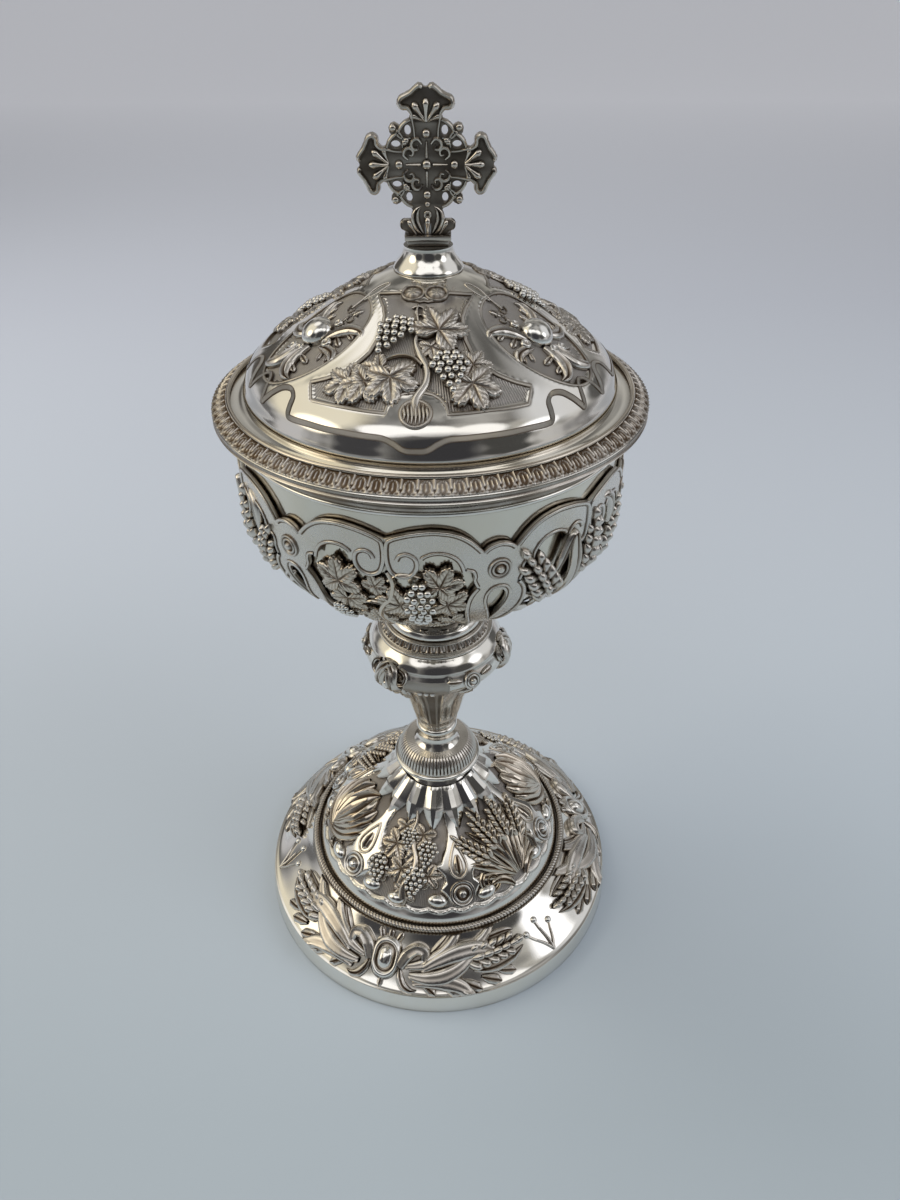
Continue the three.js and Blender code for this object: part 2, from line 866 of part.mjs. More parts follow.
/** The space above the scalloped edge of one bay, from just past one strap to just past the next. */
function scallop(middle) {
  const quarter = bay_angle / 4;
  const strap = bay_angle / 2;
  const past = strap + window_side_angle / 2;
  const small_arch = lip_height - small_arch_drop;
  const arch_foot = lip_height - arch_foot_drop;
  const shape = new THREE.Shape();
  shape.moveTo(middle - past, cut_top);
  shape.lineTo(middle - past, small_arch);
  shape.lineTo(middle - strap + arch_foot_angle, arch_foot);
  shape.quadraticCurveTo(middle - quarter - arch_shoulder_angle, calyx_top, middle - quarter / 2, calyx_top);
  shape.quadraticCurveTo(middle - arch_valley_angle, calyx_top, middle, lip_height - arch_valley_drop);
  shape.quadraticCurveTo(middle + arch_valley_angle, calyx_top, middle + quarter / 2, calyx_top);
  const shoulder = middle + quarter + arch_shoulder_angle;
  shape.quadraticCurveTo(shoulder, calyx_top, middle + strap - arch_foot_angle, arch_foot);
  shape.lineTo(middle + past, small_arch);
  shape.lineTo(middle + past, cut_top);
  return wrapped(shape, cut_inside, cut_outside, 2);
}

const boss_level = lip_height - strap_boss_drop;
const window_foot = top_ring_top + window_lift;
const window_top = calyx_top - arch_width;

/** The window on one side of a bay, between the strap, the arch and the spray. side is -1 or 1. */
function bayWindow(middle, side) {
  const strap = middle + side * (bay_angle / 2);
  const waist = boss_level - window_waist_drop;
  const waist_side = strap - side * (strap_waist_angle + window_side_angle);
  const spray_side = side * spray_half_angle;
  const shape = new THREE.Shape();
  shape.moveTo(waist_side, waist);
  shape.lineTo(strap - side * strap_half_angle, boss_level - window_shoulder_drop);
  shape.lineTo(strap - side * strap_half_angle, window_foot);
  shape.lineTo(middle + spray_side, boss_level - window_spray_drop);
  shape.lineTo(middle + spray_side * 0.65, window_top);
  shape.quadraticCurveTo(middle + spray_side * 1.5, window_top, waist_side, waist);
  return wrapped(shape, cut_inside, cut_outside, 2);
}

/** The drop-shaped opening of one strap, with its point down. */
function keyhole(azimuth) {
  const top = boss_level - keyhole_drop;
  const shape = new THREE.Shape();
  shape.moveTo(azimuth, top - keyhole_height);
  shape.quadraticCurveTo(azimuth + keyhole_half_angle * 2, top, azimuth, top);
  shape.quadraticCurveTo(azimuth - keyhole_half_angle * 2, top, azimuth, top - keyhole_height);
  return wrapped(shape, cut_inside, cut_outside, 2);
}

const bays = around(calyx_strap_count, calyx_strap_turn + bay_angle / 2);
let calyx_body = solid(turned(sheet(calyx_outline, calyx_wall), wide_steps));
for (const middle of bays) {
  calyx_body = calyx_body.subtract(scallop(middle));
  calyx_body = calyx_body.subtract(bayWindow(middle, -1));
  calyx_body = calyx_body.subtract(bayWindow(middle, 1));
  calyx_body = calyx_body.subtract(keyhole(middle + bay_angle / 2));
}
const spray_height = boss_level - spray_drop;
const bowl_space = solid(turned([...moved(bowl_outline, -seat_gap), at(0, lip_height)], wide_steps));
const sprays = bays.map((middle) =>
  swelling(calyx_side, spray_height, middle, grape_size).subtract(bowl_space),
);
piece("calyx", geometryOf(withSwellings(calyx_body, sprays)), satin());

// Tie rod: screwed into the boss, and drawn tight under the foot
const washer_top = dome_top - foot_wall;
const foot_nut_top = washer_top - foot_washer_height;
piece(
  "tie_rod",
  turned(
    [
      at(0, foot_nut_top - rod_tail),
      at(rod_radius, foot_nut_top - rod_tail),
      at(rod_radius, thread_top - seat_gap),
      at(0, thread_top - seat_gap),
    ],
    rod_steps,
  ),
  steel(),
);

// Foot washer: spreads the pull of the nut under the dome
piece(
  "foot_washer",
  turned(
    [
      at(rod_bore, foot_nut_top),
      at(foot_washer_radius, foot_nut_top),
      at(foot_washer_radius, washer_top),
      at(rod_bore, washer_top),
    ],
    rod_steps,
  ),
  steel(),
);

// Foot nut: a wing nut, turned by hand from below
const nut_foot = foot_nut_top - foot_nut_height;
const nut_section = [
  at(0, nut_foot),
  at(foot_nut_radius, nut_foot),
  at(foot_nut_radius - foot_nut_chamfer, foot_nut_top),
  at(0, foot_nut_top),
];
const wing_box = new THREE.BoxGeometry(wing_span * 2, wing_thickness, wing_height);
wing_box.translate(0, 0, nut_foot + wing_height / 2 - wing_overhang);
const nut_hole = turned(
  [
    at(0, nut_foot - wing_height),
    at(rod_bore, nut_foot - wing_height),
    at(rod_bore, foot_nut_top + cut_past),
    at(0, foot_nut_top + cut_past),
  ],
  rod_steps,
);
const foot_nut = solid(turned(nut_section, rod_steps)).add(solid(merged(wing_box)));
piece("foot_nut", geometryOf(foot_nut.subtract(solid(nut_hole))), steel());

// Lid seat ring: the flat plate that rests on the cup's lip
const bezel_radius = bowl_radius - bowl_wall - lid_play;
const seat_ring_radius = lid_edge_radius - lid_wall - seat_gap * 2;
piece(
  "lid_seat_ring",
  turned(
    [
      at(bezel_radius + seat_gap, lid_rest),
      at(seat_ring_radius, lid_rest),
      at(seat_ring_radius, lid_rest + seat_ring_height),
      at(bezel_radius + seat_gap, lid_rest + seat_ring_height),
    ],
    wide_steps,
  ),
  polished(),
);

// Lid bezel: the band inside the cup that centres the lid
piece(
  "lid_bezel",
  turned(
    [
      at(bezel_radius, lid_rest - bezel_depth),
      at(bezel_radius, lid_rest + seat_ring_height),
      at(bezel_radius - bezel_wall, lid_rest + seat_ring_height),
      at(bezel_radius - bezel_wall, lid_rest - bezel_depth),
    ],
    wide_steps,
  ),
  polished(),
);

// Lid flange: edge band, slope for the gallery, hollow, and the ledge that carries the dome
const slope_foot = at(lid_edge_radius - lid_edge_lean, lid_rest + lid_edge_height);
const slope_head = at(slope_foot.x - flange_slope_run, slope_foot.y + flange_slope_rise);
const flange_ledge_radius = lid_dome_radius - lid_ledge_width;
const lid_flange_outline = [
  at(lid_edge_radius, lid_rest),
  at(lid_edge_radius - lid_edge_hollow, lid_rest + lid_edge_height / 2),
  slope_foot,
  slope_head,
  at(slope_head.x - flange_hollow_run, lid_ledge - flange_hollow_drop),
  at(lid_dome_radius + flange_flat, lid_ledge),
  at(flange_ledge_radius, lid_ledge),
];
const lid_flange_section = sheet(lid_flange_outline, lid_wall, { levelStart: true });
piece("lid_flange", turned(lid_flange_section, wide_steps), polished());

// Lid gallery band: the strip of small arches laid on the slope
const gallery_foot = moved([slope_foot, slope_head], -seat_gap);
const gallery_face = moved([slope_foot, slope_head], -seat_gap - gallery_thickness);
piece("lid_gallery_band", turned([...gallery_face, ...gallery_foot.reverse()], wide_steps), embossed());

// Lid bead wire: between the gallery and the hollow
const bead_place = at(slope_head.x - bead_inset, slope_head.y + bead_radius + seat_gap);
const bead_section = wireSection(bead_place.x, bead_place.y, bead_radius);
piece("lid_bead_wire", turned(bead_section, wide_steps), polished());

// Lid dome: the embossed sheet, with three fruit medallions and three vine panels
const lid_slope = curveBetween(
  at(lid_dome_radius, lid_ledge),
  at(lid_dome_top_radius, lid_dome_top),
  [
    [0, 0],
    [0.008, 0.1],
    [0.111, 0.31],
    [0.469, 0.61],
    [0.84, 0.91],
    [1, 1],
  ],
  7,
);
const lid_outline = [...lid_slope, at(stud_bore, lid_dome_top)];
const medallions = around(medallion_count, medallion_turn);
const vine_panels = around(medallion_count, vine_turn);
const stem_sides = [1, -1].map((side) => vine_stem.map(([x, y, half]) => at(x + side * half, y)));
const stem_shape = new THREE.Shape([...stem_sides[0], ...stem_sides[1].reverse()]);
const lid_leaves = [
  ...medallions.map((azimuth) =>
    block(lid_slope, lid_dome_top - medallion_drop, azimuth, new THREE.Shape(leafPoints(acanthus_tips))),
  ),
  ...vine_panels.flatMap((azimuth) => [
    block(lid_slope, lid_dome_top - vine_stem_drop, azimuth, stem_shape),
    ...vine_leaves.map(({ angle, drop, turn, reach }) =>
      block(lid_slope, lid_dome_top - drop, azimuth + angle, vineLeaf(reach), turn),
    ),
  ]),
];
const lid_lumps = [
  ...medallions.map((azimuth) =>
    swelling(lid_slope, lid_dome_top - medallion_drop, azimuth, medallion_fruit),
  ),
  ...vine_panels.flatMap((azimuth) => [
    swelling(lid_slope, lid_dome_top - vine_stump_drop, azimuth, vine_stump_size),
    ...vine_clusters.map(({ angle, drop, turn }) =>
      swelling(lid_slope, lid_dome_top - drop, azimuth + angle, vine_cluster_size, turn),
    ),
  ]),
];
const lid_sheet = solid(turned(sheet(lid_outline, lid_wall, { levelStart: true }), wide_steps));
const lid_body = withSwellings(lid_sheet, [
  relief(lid_slope, lid_wall, vine_proud, lid_leaves),
  relief(lid_slope, lid_wall, medallion_fruit.proud, lid_lumps),
]);
piece("lid_dome", geometryOf(lid_body), embossed());

// Finial collar: the bell-shaped piece between the dome and the cross
piece(
  "finial_collar",
  turned(
    [
      at(stud_bore, lid_dome_top),
      at(collar_radius, lid_dome_top),
      at(collar_radius - collar_edge, lid_dome_top + collar_height * 0.2),
      at((collar_radius + collar_top_radius) / 2 - collar_hollow, lid_dome_top + collar_height * 0.5),
      at(collar_top_radius, lid_dome_top + collar_height * 0.82),
      at(collar_top_radius, collar_top),
      at(stud_bore, collar_top),
    ],
    stem_steps,
  ),
  polished(),
);

/** One half of an arm's outline, as points along the arm and out from its middle. */
const arm_half = [
  [0.3, 0.15],
  [0.5, 0.165],
  [0.62, 0.25],
  [0.68, 0.37],
  [0.75, 0.39],
  [0.82, 0.37],
  [0.9, 0.23],
  [0.97, 0.13],
  [1, 0.055],
];
const arm_notch = 0.955;

/** One flared arm of the cross, pointing up from its centre. */
function armShape(length) {
  const shape = new THREE.Shape();
  shape.moveTo(-arm_half[0][1] * length, 0);
  arm_half.forEach(([along, out]) => shape.lineTo(-out * length, along * length));
  shape.lineTo(0, arm_notch * length);
  [...arm_half].reverse().forEach(([along, out]) => shape.lineTo(out * length, along * length));
  shape.lineTo(arm_half[0][1] * length, 0);
  return shape;
}

/** A shape of the cross given its thickness, turned in its own plane and stood upright. */
function castShape(shape, turn, thickness) {
  const geometry = new THREE.ExtrudeGeometry(shape, {
    depth: thickness,
    bevelEnabled: false,
    curveSegments: 3,
  });
  geometry.translate(0, 0, -thickness / 2);
  geometry.rotateZ(turn);
  geometry.rotateX(Math.PI / 2);
  geometry.translate(0, 0, collar_top + cross_centre);
  return solid(merged(geometry));
}

/** The pierced corner between two arms, in the upper right of the cross. */
function cornerShape() {
  const unit = cross_reach;
  const shape = new THREE.Shape();
  shape.moveTo(0, 0);
  shape.lineTo(0.62 * unit, 0.12 * unit);
  shape.lineTo(0.56 * unit, 0.38 * unit);
  shape.absarc(0.49 * unit, 0.5 * unit, 0.09 * unit, 0, Math.PI / 2, false);
  shape.lineTo(0.36 * unit, 0.57 * unit);
  shape.lineTo(0.12 * unit, 0.62 * unit);
  for (const [x, y, wide, tall] of [
    [0.24, 0.5, 1, 1.3],
    [0.44, 0.29, 1.2, 1],
  ]) {
    const hole = new THREE.Path();
    const [across, up] = [cross_hole_radius * wide, cross_hole_radius * tall];
    hole.absellipse(x * unit, y * unit, across, up, 0, 2 * Math.PI, true);
    shape.holes.push(hole);
  }
  return shape;
}

// Cross: a pierced casting with four flared arms, on its own foot plate
const cross_up = cross_rise - cross_centre;
const quarter_turn = Math.PI / 2;
let cross_body = castShape(armShape(cross_up), 0, cross_thickness);
cross_body = cross_body.add(castShape(armShape(cross_reach), quarter_turn, cross_thickness));
cross_body = cross_body.add(castShape(armShape(cross_reach), -quarter_turn, cross_thickness));
for (const turn of [0, 1, 2, 3]) {
  const corner = castShape(cornerShape(), turn * quarter_turn, cross_thickness * 0.7);
  cross_body = cross_body.add(corner);
}
const lower_arm = new THREE.Shape([
  at(-0.15 * cross_reach, 0),
  at(-0.17 * cross_reach, -cross_centre * 0.45),
  at(-cross_block.wide / 2, -cross_centre + cross_foot.tall),
  at(cross_block.wide / 2, -cross_centre + cross_foot.tall),
  at(0.17 * cross_reach, -cross_centre * 0.45),
  at(0.15 * cross_reach, 0),
]);
cross_body = cross_body.add(castShape(lower_arm, 0, cross_thickness));
const foot_plate = new THREE.BoxGeometry(cross_foot.wide, cross_foot.deep, cross_foot.tall);
foot_plate.translate(0, 0, collar_top + cross_foot.tall / 2);
const foot_block = new THREE.BoxGeometry(cross_block.wide, cross_block.deep, cross_block.tall);
foot_block.translate(0, 0, collar_top + cross_block.tall / 2 + cross_foot.tall / 2);
const stud_hole = turned(
  [
    at(0, collar_top - cut_past),
    at(stud_bore, collar_top - cut_past),
    at(stud_bore, collar_top + stud_reach),
    at(0, collar_top + stud_reach),
  ],
  rod_steps,
);
cross_body = cross_body.add(solid(merged(foot_plate))).add(solid(merged(foot_block)));
piece("cross", geometryOf(cross_body.subtract(solid(stud_hole))), oxidised());

// Cross washer, nut and stud: hold the cross and its collar on the dome, from inside the lid
const lid_washer_top = lid_dome_top - lid_wall;
const lid_nut_top = lid_washer_top - cross_washer_height;
const lid_nut_foot = lid_nut_top - cross_nut_height;
piece(
  "cross_washer",
  turned(
    [
      at(stud_bore, lid_nut_top),
      at(cross_washer_radius, lid_nut_top),
      at(cross_washer_radius, lid_washer_top),
      at(stud_bore, lid_washer_top),
    ],
    rod_steps,
  ),
  steel(),
);
const hexagon = 6;
const nut_outside = turned(
  [
    at(0, lid_nut_foot),
    at(cross_nut_radius, lid_nut_foot),
    at(cross_nut_radius, lid_nut_top),
    at(0, lid_nut_top),
  ],
  hexagon,
);
const nut_inside = turned(
  [
    at(0, lid_nut_foot - cut_past),
    at(stud_bore, lid_nut_foot - cut_past),
    at(stud_bore, lid_nut_top + cut_past),
    at(0, lid_nut_top + cut_past),
  ],
  rod_steps,
);
piece("cross_nut", geometryOf(solid(nut_outside).subtract(solid(nut_inside))), steel());
piece(
  "cross_stud",
  turned(
    [
      at(0, lid_nut_foot - stud_tail),
      at(stud_radius, lid_nut_foot - stud_tail),
      at(stud_radius, collar_top + stud_reach - seat_gap),
      at(0, collar_top + stud_reach - seat_gap),
    ],
    rod_steps,
  ),
  steel(),
);

export default ciborium;
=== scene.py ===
# %% [markdown]
# # A covered silver cup, dressed for its picture
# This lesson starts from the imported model, which fixes every size and joint, and gives each piece
# the finish and the chased ornament of the real silver. Lengths are worked out in millimetres and
# handed to Blender in metres.

import json
import math

import bpy
import numpy as np
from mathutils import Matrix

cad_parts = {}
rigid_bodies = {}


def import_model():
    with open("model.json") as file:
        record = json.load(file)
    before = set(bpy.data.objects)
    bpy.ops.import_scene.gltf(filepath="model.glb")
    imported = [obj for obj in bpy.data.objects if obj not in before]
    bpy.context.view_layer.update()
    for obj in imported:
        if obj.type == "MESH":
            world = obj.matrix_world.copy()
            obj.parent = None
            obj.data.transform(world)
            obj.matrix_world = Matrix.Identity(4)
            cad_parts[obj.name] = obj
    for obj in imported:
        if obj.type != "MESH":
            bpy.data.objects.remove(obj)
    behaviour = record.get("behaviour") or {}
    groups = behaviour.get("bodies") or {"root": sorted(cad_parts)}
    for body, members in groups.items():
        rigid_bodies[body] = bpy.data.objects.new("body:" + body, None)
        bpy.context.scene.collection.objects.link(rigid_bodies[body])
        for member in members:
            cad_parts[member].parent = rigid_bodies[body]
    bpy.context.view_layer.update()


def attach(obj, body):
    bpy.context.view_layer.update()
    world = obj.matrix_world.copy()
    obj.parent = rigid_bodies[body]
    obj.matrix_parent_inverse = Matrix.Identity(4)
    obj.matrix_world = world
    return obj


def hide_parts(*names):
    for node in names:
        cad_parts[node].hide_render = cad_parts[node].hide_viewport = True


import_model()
MM = 0.001

# %% [markdown]
# ## Camera
# The photograph looks down on the cup from close by, so the lid seems wide and the foot small. The
# place and lens were worked out from circles whose sizes are known: the foot, the lid and the cup.

# %% Camera
camera = bpy.data.objects.new("camera", bpy.data.cameras.new("camera"))
bpy.context.scene.collection.objects.link(camera)
camera.data.sensor_width = 36
camera.data.lens = 25.863
camera.location = (0.0062, -0.24794, 0.33373)
camera.rotation_euler = (math.radians(52.955), math.radians(0.2), 0)
camera.data.clip_start = 0.01
bpy.context.scene.camera = camera
bpy.context.scene.view_settings.view_transform = "Standard"
print("camera at", [round(v, 3) for v in camera.location])

# %% [markdown]
# ## Nodes in a few words
# A material is a small network of nodes. This helper adds one node, sets its plain inputs and links
# the others, so that each material below reads as a short list.


# %% Helpers for shader nodes
def node(tree, kind, inputs=None, **settings):
    """Adds a shader node. An input is a value, another node or an output socket of one."""
    made = tree.nodes.new("ShaderNode" + kind)
    for name, value in settings.items():
        setattr(made, name, value)
    for key, value in (inputs or {}).items():
        if isinstance(value, bpy.types.Node):
            value = value.outputs[0]
        if isinstance(value, bpy.types.NodeSocket):
            tree.links.new(value, made.inputs[key])
        else:
            made.inputs[key].default_value = value
    return made


def ramp(tree, factor, *stops):
    """A colour ramp through (place, grey or colour) stops."""
    made = node(tree, "ValToRGB", {"Fac": factor})
    elements = made.color_ramp.elements
    while len(elements) < len(stops):
        elements.new(0.5)
    for element, (place, colour) in zip(elements, stops):
        element.position = place
        grey = isinstance(colour, (int, float))
        element.color = (colour, colour, colour, 1) if grey else (*colour, 1)
    return made


def blank_material(name):
    """A new material and its empty network."""
    made = bpy.data.materials.new(name)
    made.use_nodes = True
    made.node_tree.nodes.clear()
    return made, made.node_tree


# %% [markdown]
# ## The room
# Polished silver has almost no colour of its own: it shows the room. So the room is grey and warm,
# dimmer overhead, with a yellowish window on the left, a white one on the right, and a dark patch
# where the photographer stands. Two big soft lamps light the table; the silver does not mirror them.

# %% World, lamps and table
world = bpy.data.worlds.new("room")
bpy.context.scene.world = world
world.use_nodes = True
sky = world.node_tree
sky.nodes.clear()
direction = node(sky, "TexCoord").outputs["Generated"]
height = node(sky, "SeparateXYZ", {0: direction}).outputs["Z"]
room = ramp(sky, height, (0.0, (0.34, 0.34, 0.36)), (0.30, (0.34, 0.335, 0.325)), (0.62, (0.30, 0.295, 0.28)),
            (0.85, (0.24, 0.235, 0.23)), (1.0, 0.30))
uneven = node(sky, "TexNoise", {"Vector": direction, "Scale": 2.6, "Detail": 2.0})
uneven = ramp(sky, uneven, (0.38, 0.40), (0.50, 0.95), (0.62, 1.5))
room = node(sky, "MixRGB", {0: 1.0, 1: room, 2: uneven}, blend_type="MULTIPLY")
for aim, near, full, light in (
    ((-0.74, 0.10, 0.66), 0.84, 0.93, (0.80, 0.75, 0.62)),
    ((-0.86, -0.20, 0.47), 0.955, 0.975, (1.75, 1.6, 1.3)),
    ((-0.30, 0.30, 0.90), 0.955, 0.98, (1.0, 0.98, 0.95)),
    ((0.78, 0.20, 0.58), 0.88, 0.95, (0.66, 0.67, 0.70)),
    ((0.84, -0.25, 0.48), 0.97, 0.985, (1.4, 1.42, 1.5)),
    ((-0.34, -0.50, 0.80), 0.965, 0.98, (1.12, 1.12, 1.14)),
    ((0.02, -0.52, 0.86), 0.975, 0.985, (1.15, 1.15, 1.17)),
    ((0.40, -0.48, 0.78), 0.965, 0.98, (1.1, 1.1, 1.12)),
    ((0.08, -0.92, 0.38), 0.80, 0.95, (0.04, 0.04, 0.045)),
    ((-0.64, -0.68, 0.36), 0.955, 0.975, (0.05, 0.05, 0.055)),
    ((0.68, -0.64, 0.36), 0.96, 0.975, (0.06, 0.06, 0.06)),
    ((-0.58, 0.78, 0.24), 0.965, 0.98, (0.08, 0.075, 0.07)),
    ((0.80, 0.55, 0.22), 0.97, 0.985, (0.09, 0.09, 0.09)),
):
    toward = node(sky, "VectorMath", {0: direction, 1: aim}, operation="DOT_PRODUCT")
    patch = ramp(sky, toward.outputs["Value"], (near, 0.0), (full, 1.0))
    room = node(sky, "MixRGB", {0: patch, 1: room, 2: (*light, 1)})
node(sky, "OutputWorld", {"Surface": node(sky, "Background", {"Color": room, "Strength": 1.0})})


def lamp(name, place, target, size, power, colour):
    """A soft square lamp that faces a point."""
    data = bpy.data.lights.new(name, "AREA")
    data.shape, data.size, data.energy, data.color = "SQUARE", size, power, colour
    made = bpy.data.objects.new(name, data)
    bpy.context.scene.collection.objects.link(made)
    made.location = place
    made.visible_glossy = False
    aim = np.array(target) - np.array(place)
    tilt, heading = math.atan2(aim[2], math.hypot(aim[0], aim[1])), math.atan2(aim[1], aim[0])
    made.rotation_euler = (math.pi / 2 + tilt, 0, heading - math.pi / 2)


lamp("lamp_left", (-0.75, 0.25, 0.95), (0, 0, 0.15), 1.0, 7.0, (1.0, 0.96, 0.91))
lamp("lamp_right", (0.85, -0.25, 0.75), (0, 0, 0.2), 0.8, 4.5, (0.96, 0.98, 1.0))

bpy.ops.mesh.primitive_plane_add(size=60)
table = bpy.context.object
table.name = "table"
pale, tree = blank_material("pale_table")
where = node(tree, "TexCoord").outputs["Object"]
depth = node(tree, "SeparateXYZ", {0: where}).outputs["Y"]
far = node(tree, "MapRange", {"Value": depth, "From Min": -0.2, "From Max": 3.0})
tone = ramp(tree, far, (0.027, (0.41, 0.47, 0.52)), (0.067, (0.47, 0.53, 0.59)), (0.145, (0.51, 0.56, 0.63)),
            (0.308, (0.57, 0.61, 0.70)), (0.834, (0.86, 0.895, 1.0)))
top = node(tree, "BsdfPrincipled", {"Base Color": tone, "Roughness": 0.7, "Specular IOR Level": 0.2})
node(tree, "OutputMaterial", {"Surface": top})
table.data.materials.append(pale)
print("table and", len(bpy.data.lights), "lamps")

# %% [markdown]
# ## Silver in several finishes
# All the silver shares one network: a base colour that turns brown where tarnish gathers and where
# shade is painted, a roughness with faint cloudy wear, and a bump of hand-hammered waves and fine
# scratches. The brown mask mixes ambient occlusion, which paints shade wherever nearby metal hides
# the room, with an attribute named hollow, which the mesh code writes where a tool has cut a groove
# and where it paints shade on undersides, gaps and dark faces.


# %% The silver network
def silver(name, tint, rough, tarnish_and_shade_colour=(0.16, 0.11, 0.07), hollow_reach=2.5, dark=1.0, waves=0.25,
           scratch=0.3, hatch=0.0, cloud=0.3):
    """A silver material. rough is its roughness, dark how strongly its hollows are tarnished and its painted
    shade darkened.
    """
    made, tree = blank_material(name)
    where = node(tree, "TexCoord")
    place = where.outputs["Object"]
    cloudy = node(tree, "TexNoise", {"Vector": place, "Scale": 70.0, "Detail": 4.0})
    fine = node(tree, "TexNoise", {"Vector": place, "Scale": 900.0, "Detail": 3.0})
    # Painted shade: ambient occlusion browns the colour wherever nearby metal hides the room, under and
    # between parts as well as in real hollows where tarnish gathers.
    shade = node(tree, "AmbientOcclusion", {"Distance": hollow_reach * MM}, samples=6).outputs["AO"]
    occlusion_shade = node(tree, "MapRange", {"Value": shade, "From Min": 0.75, "From Max": 0.25})
    # The hollow attribute holds tarnish in cut grooves and painted shade on undersides, gaps and faces that
    # are meant to look dark.
    groove = node(tree, "Attribute", attribute_name="hollow").outputs["Fac"]
    both = node(tree, "Math", {0: occlusion_shade, 1: groove}, operation="ADD")
    spread = node(
        tree, "MapRange", {"Value": cloudy, "From Min": 0.3, "From Max": 0.7, "To Min": 0.6,
        "To Max": 1.25})
    tarnish_and_shade_mask = node(tree, "Math", {0: both, 1: spread}, operation="MULTIPLY", use_clamp=True)
    tarnish_and_shade_mask = node(tree, "Math", {0: tarnish_and_shade_mask, 1: dark}, operation="MULTIPLY", use_clamp=True)
    bloom = node(tree, "MapRange", {"Value": cloudy, "From Min": 0.35, "From Max": 0.75, "To Max": cloud})
    warm = tuple(c * k for c, k in zip(tint, (0.93, 0.87, 0.76)))
    clean = node(tree, "MixRGB", {0: bloom, 1: (*tint, 1), 2: (*warm, 1)})
    colour = node(tree, "MixRGB", {0: tarnish_and_shade_mask, 1: clean, 2: (*tarnish_and_shade_colour, 1)})
    wear = node(tree, "MapRange", {"Value": fine, "To Min": rough * 0.75, "To Max": rough * 1.3})
    dull = node(tree, "Math", {0: tarnish_and_shade_mask, 1: 0.3, 2: wear}, operation="MULTIPLY_ADD")
    swell = node(tree, "TexNoise", {"Vector": place, "Scale": 45.0, "Detail": 1.0})
    bump = node(tree, "Bump", {"Height": swell, "Strength": waves, "Distance": 0.6 * MM})
    streaks = node(tree, "Mapping", {"Vector": place, "Scale": (1.0, 1.0, 0.12)})
    lines = node(tree, "TexNoise", {"Vector": streaks, "Scale": 1400.0, "Detail": 2.0})
    bump = node(tree, "Bump", {"Height": lines, "Strength": scratch, "Distance": 0.02 * MM, "Normal": bump})
    if hatch:
        across = node(
            tree, "TexWave", {"Vector": where.outputs["UV"], "Scale": hatch, "Distortion": 1.6,
            "Detail": 2.0, "Detail Scale": 2.5}).outputs["Fac"]
        bump = node(tree, "Bump", {"Height": across, "Strength": 0.9, "Distance": 0.10 * MM, "Normal": bump})
        cut = ramp(tree, across, (0.0, 0.62), (0.6, 1.0))
        colour = node(tree, "MixRGB", {0: 1.0, 1: colour, 2: cut}, blend_type="MULTIPLY")
    metal = node(
        tree, "BsdfPrincipled", {"Base Color": colour, "Metallic": 1.0, "Roughness": dull, "Normal": bump})
    node(tree, "OutputMaterial", {"Surface": metal})
    return made


POLISHED = silver("silver_polished", (0.91, 0.885, 0.825), 0.085, dark=0.8, waves=0.30, scratch=0.12)
BRIGHT = silver("silver_bright", (0.93, 0.91, 0.86), 0.12, dark=0.9, waves=0.1, hollow_reach=1.6, scratch=0.1)
EMBOSSED = silver("silver_embossed", (0.77, 0.73, 0.67), 0.23, dark=1.1, waves=0.15, scratch=0.2)
CUP_WALL = silver(
    "silver_cup_wall", (0.79, 0.755, 0.665), 0.13, dark=0.5, waves=0.28, cloud=0.5, scratch=0.06)
SATIN = silver("silver_satin", (0.76, 0.73, 0.68), 0.27, hollow_reach=1.6, cloud=0.7)
GROUND = silver("silver_ground", (0.62, 0.59, 0.56), 0.38, dark=0.6, waves=0.1, hatch=0.6)
ENGRAVED = silver("silver_engraved", (0.66, 0.62, 0.56), 0.34, dark=0.9, waves=0.1, hatch=2.2)
OXIDISED = silver("silver_oxidised", (0.75, 0.68, 0.58), 0.16, dark=1.3, waves=0.1, scratch=0.2)
CAST = silver("silver_cast", (0.70, 0.65, 0.58), 0.15, (0.12, 0.10, 0.08), dark=1.4, waves=0.1, scratch=0.2)
STEEL = silver("fittings_steel", (0.52, 0.53, 0.54), 0.38, dark=0.6, waves=0.05, scratch=0.8)
print("materials:", len(bpy.data.materials))

# %% [markdown]
# ## Turned surfaces
# Nearly everything here is round, so each surface is known by its outline: a line of (radius,
# height) points from its top edge down. A place on it is an azimuth, counted from the front towards
# the right, a length down the outline, and a lift off the metal.


# %% Outlines and surfaces
def smooth(points, steps):
    """A smooth line through points, the same curve that the CAD model uses."""
    p = np.array(points, float)
    p = np.vstack([p[:1], p, p[-1:]])
    t = np.linspace(0, len(p) - 3, steps + 1)
    i = np.minimum(t.astype(int), len(p) - 4)
    w = (t - i)[:, None]
    a, b, c, d = p[i], p[i + 1], p[i + 2], p[i + 3]
    return 0.5 * (2 * b + (c - a) * w + (2 * a - 5 * b + 4 * c - d) * w**2 + (3 * b - a - 3 * c + d) * w**3)


def left_of(along):
    """Unit steps to the left of the steps along a flat line."""
    along = along / np.maximum(np.linalg.norm(along, axis=1, keepdims=True), 1e-9)
    return np.stack([-along[:, 1], along[:, 0]], 1)


def turned(flat, turn, size=1.0, flip=1):
    """How far across and up flat points lie when they are scaled, mirrored and turned."""
    a = math.radians(turn)
    x, y = flat[:, 0] * size * flip, flat[:, 1] * size
    return x * math.cos(a) - y * math.sin(a), x * math.sin(a) + y * math.cos(a)


def wrapped(degrees):
    return (degrees + 180) % 360 - 180


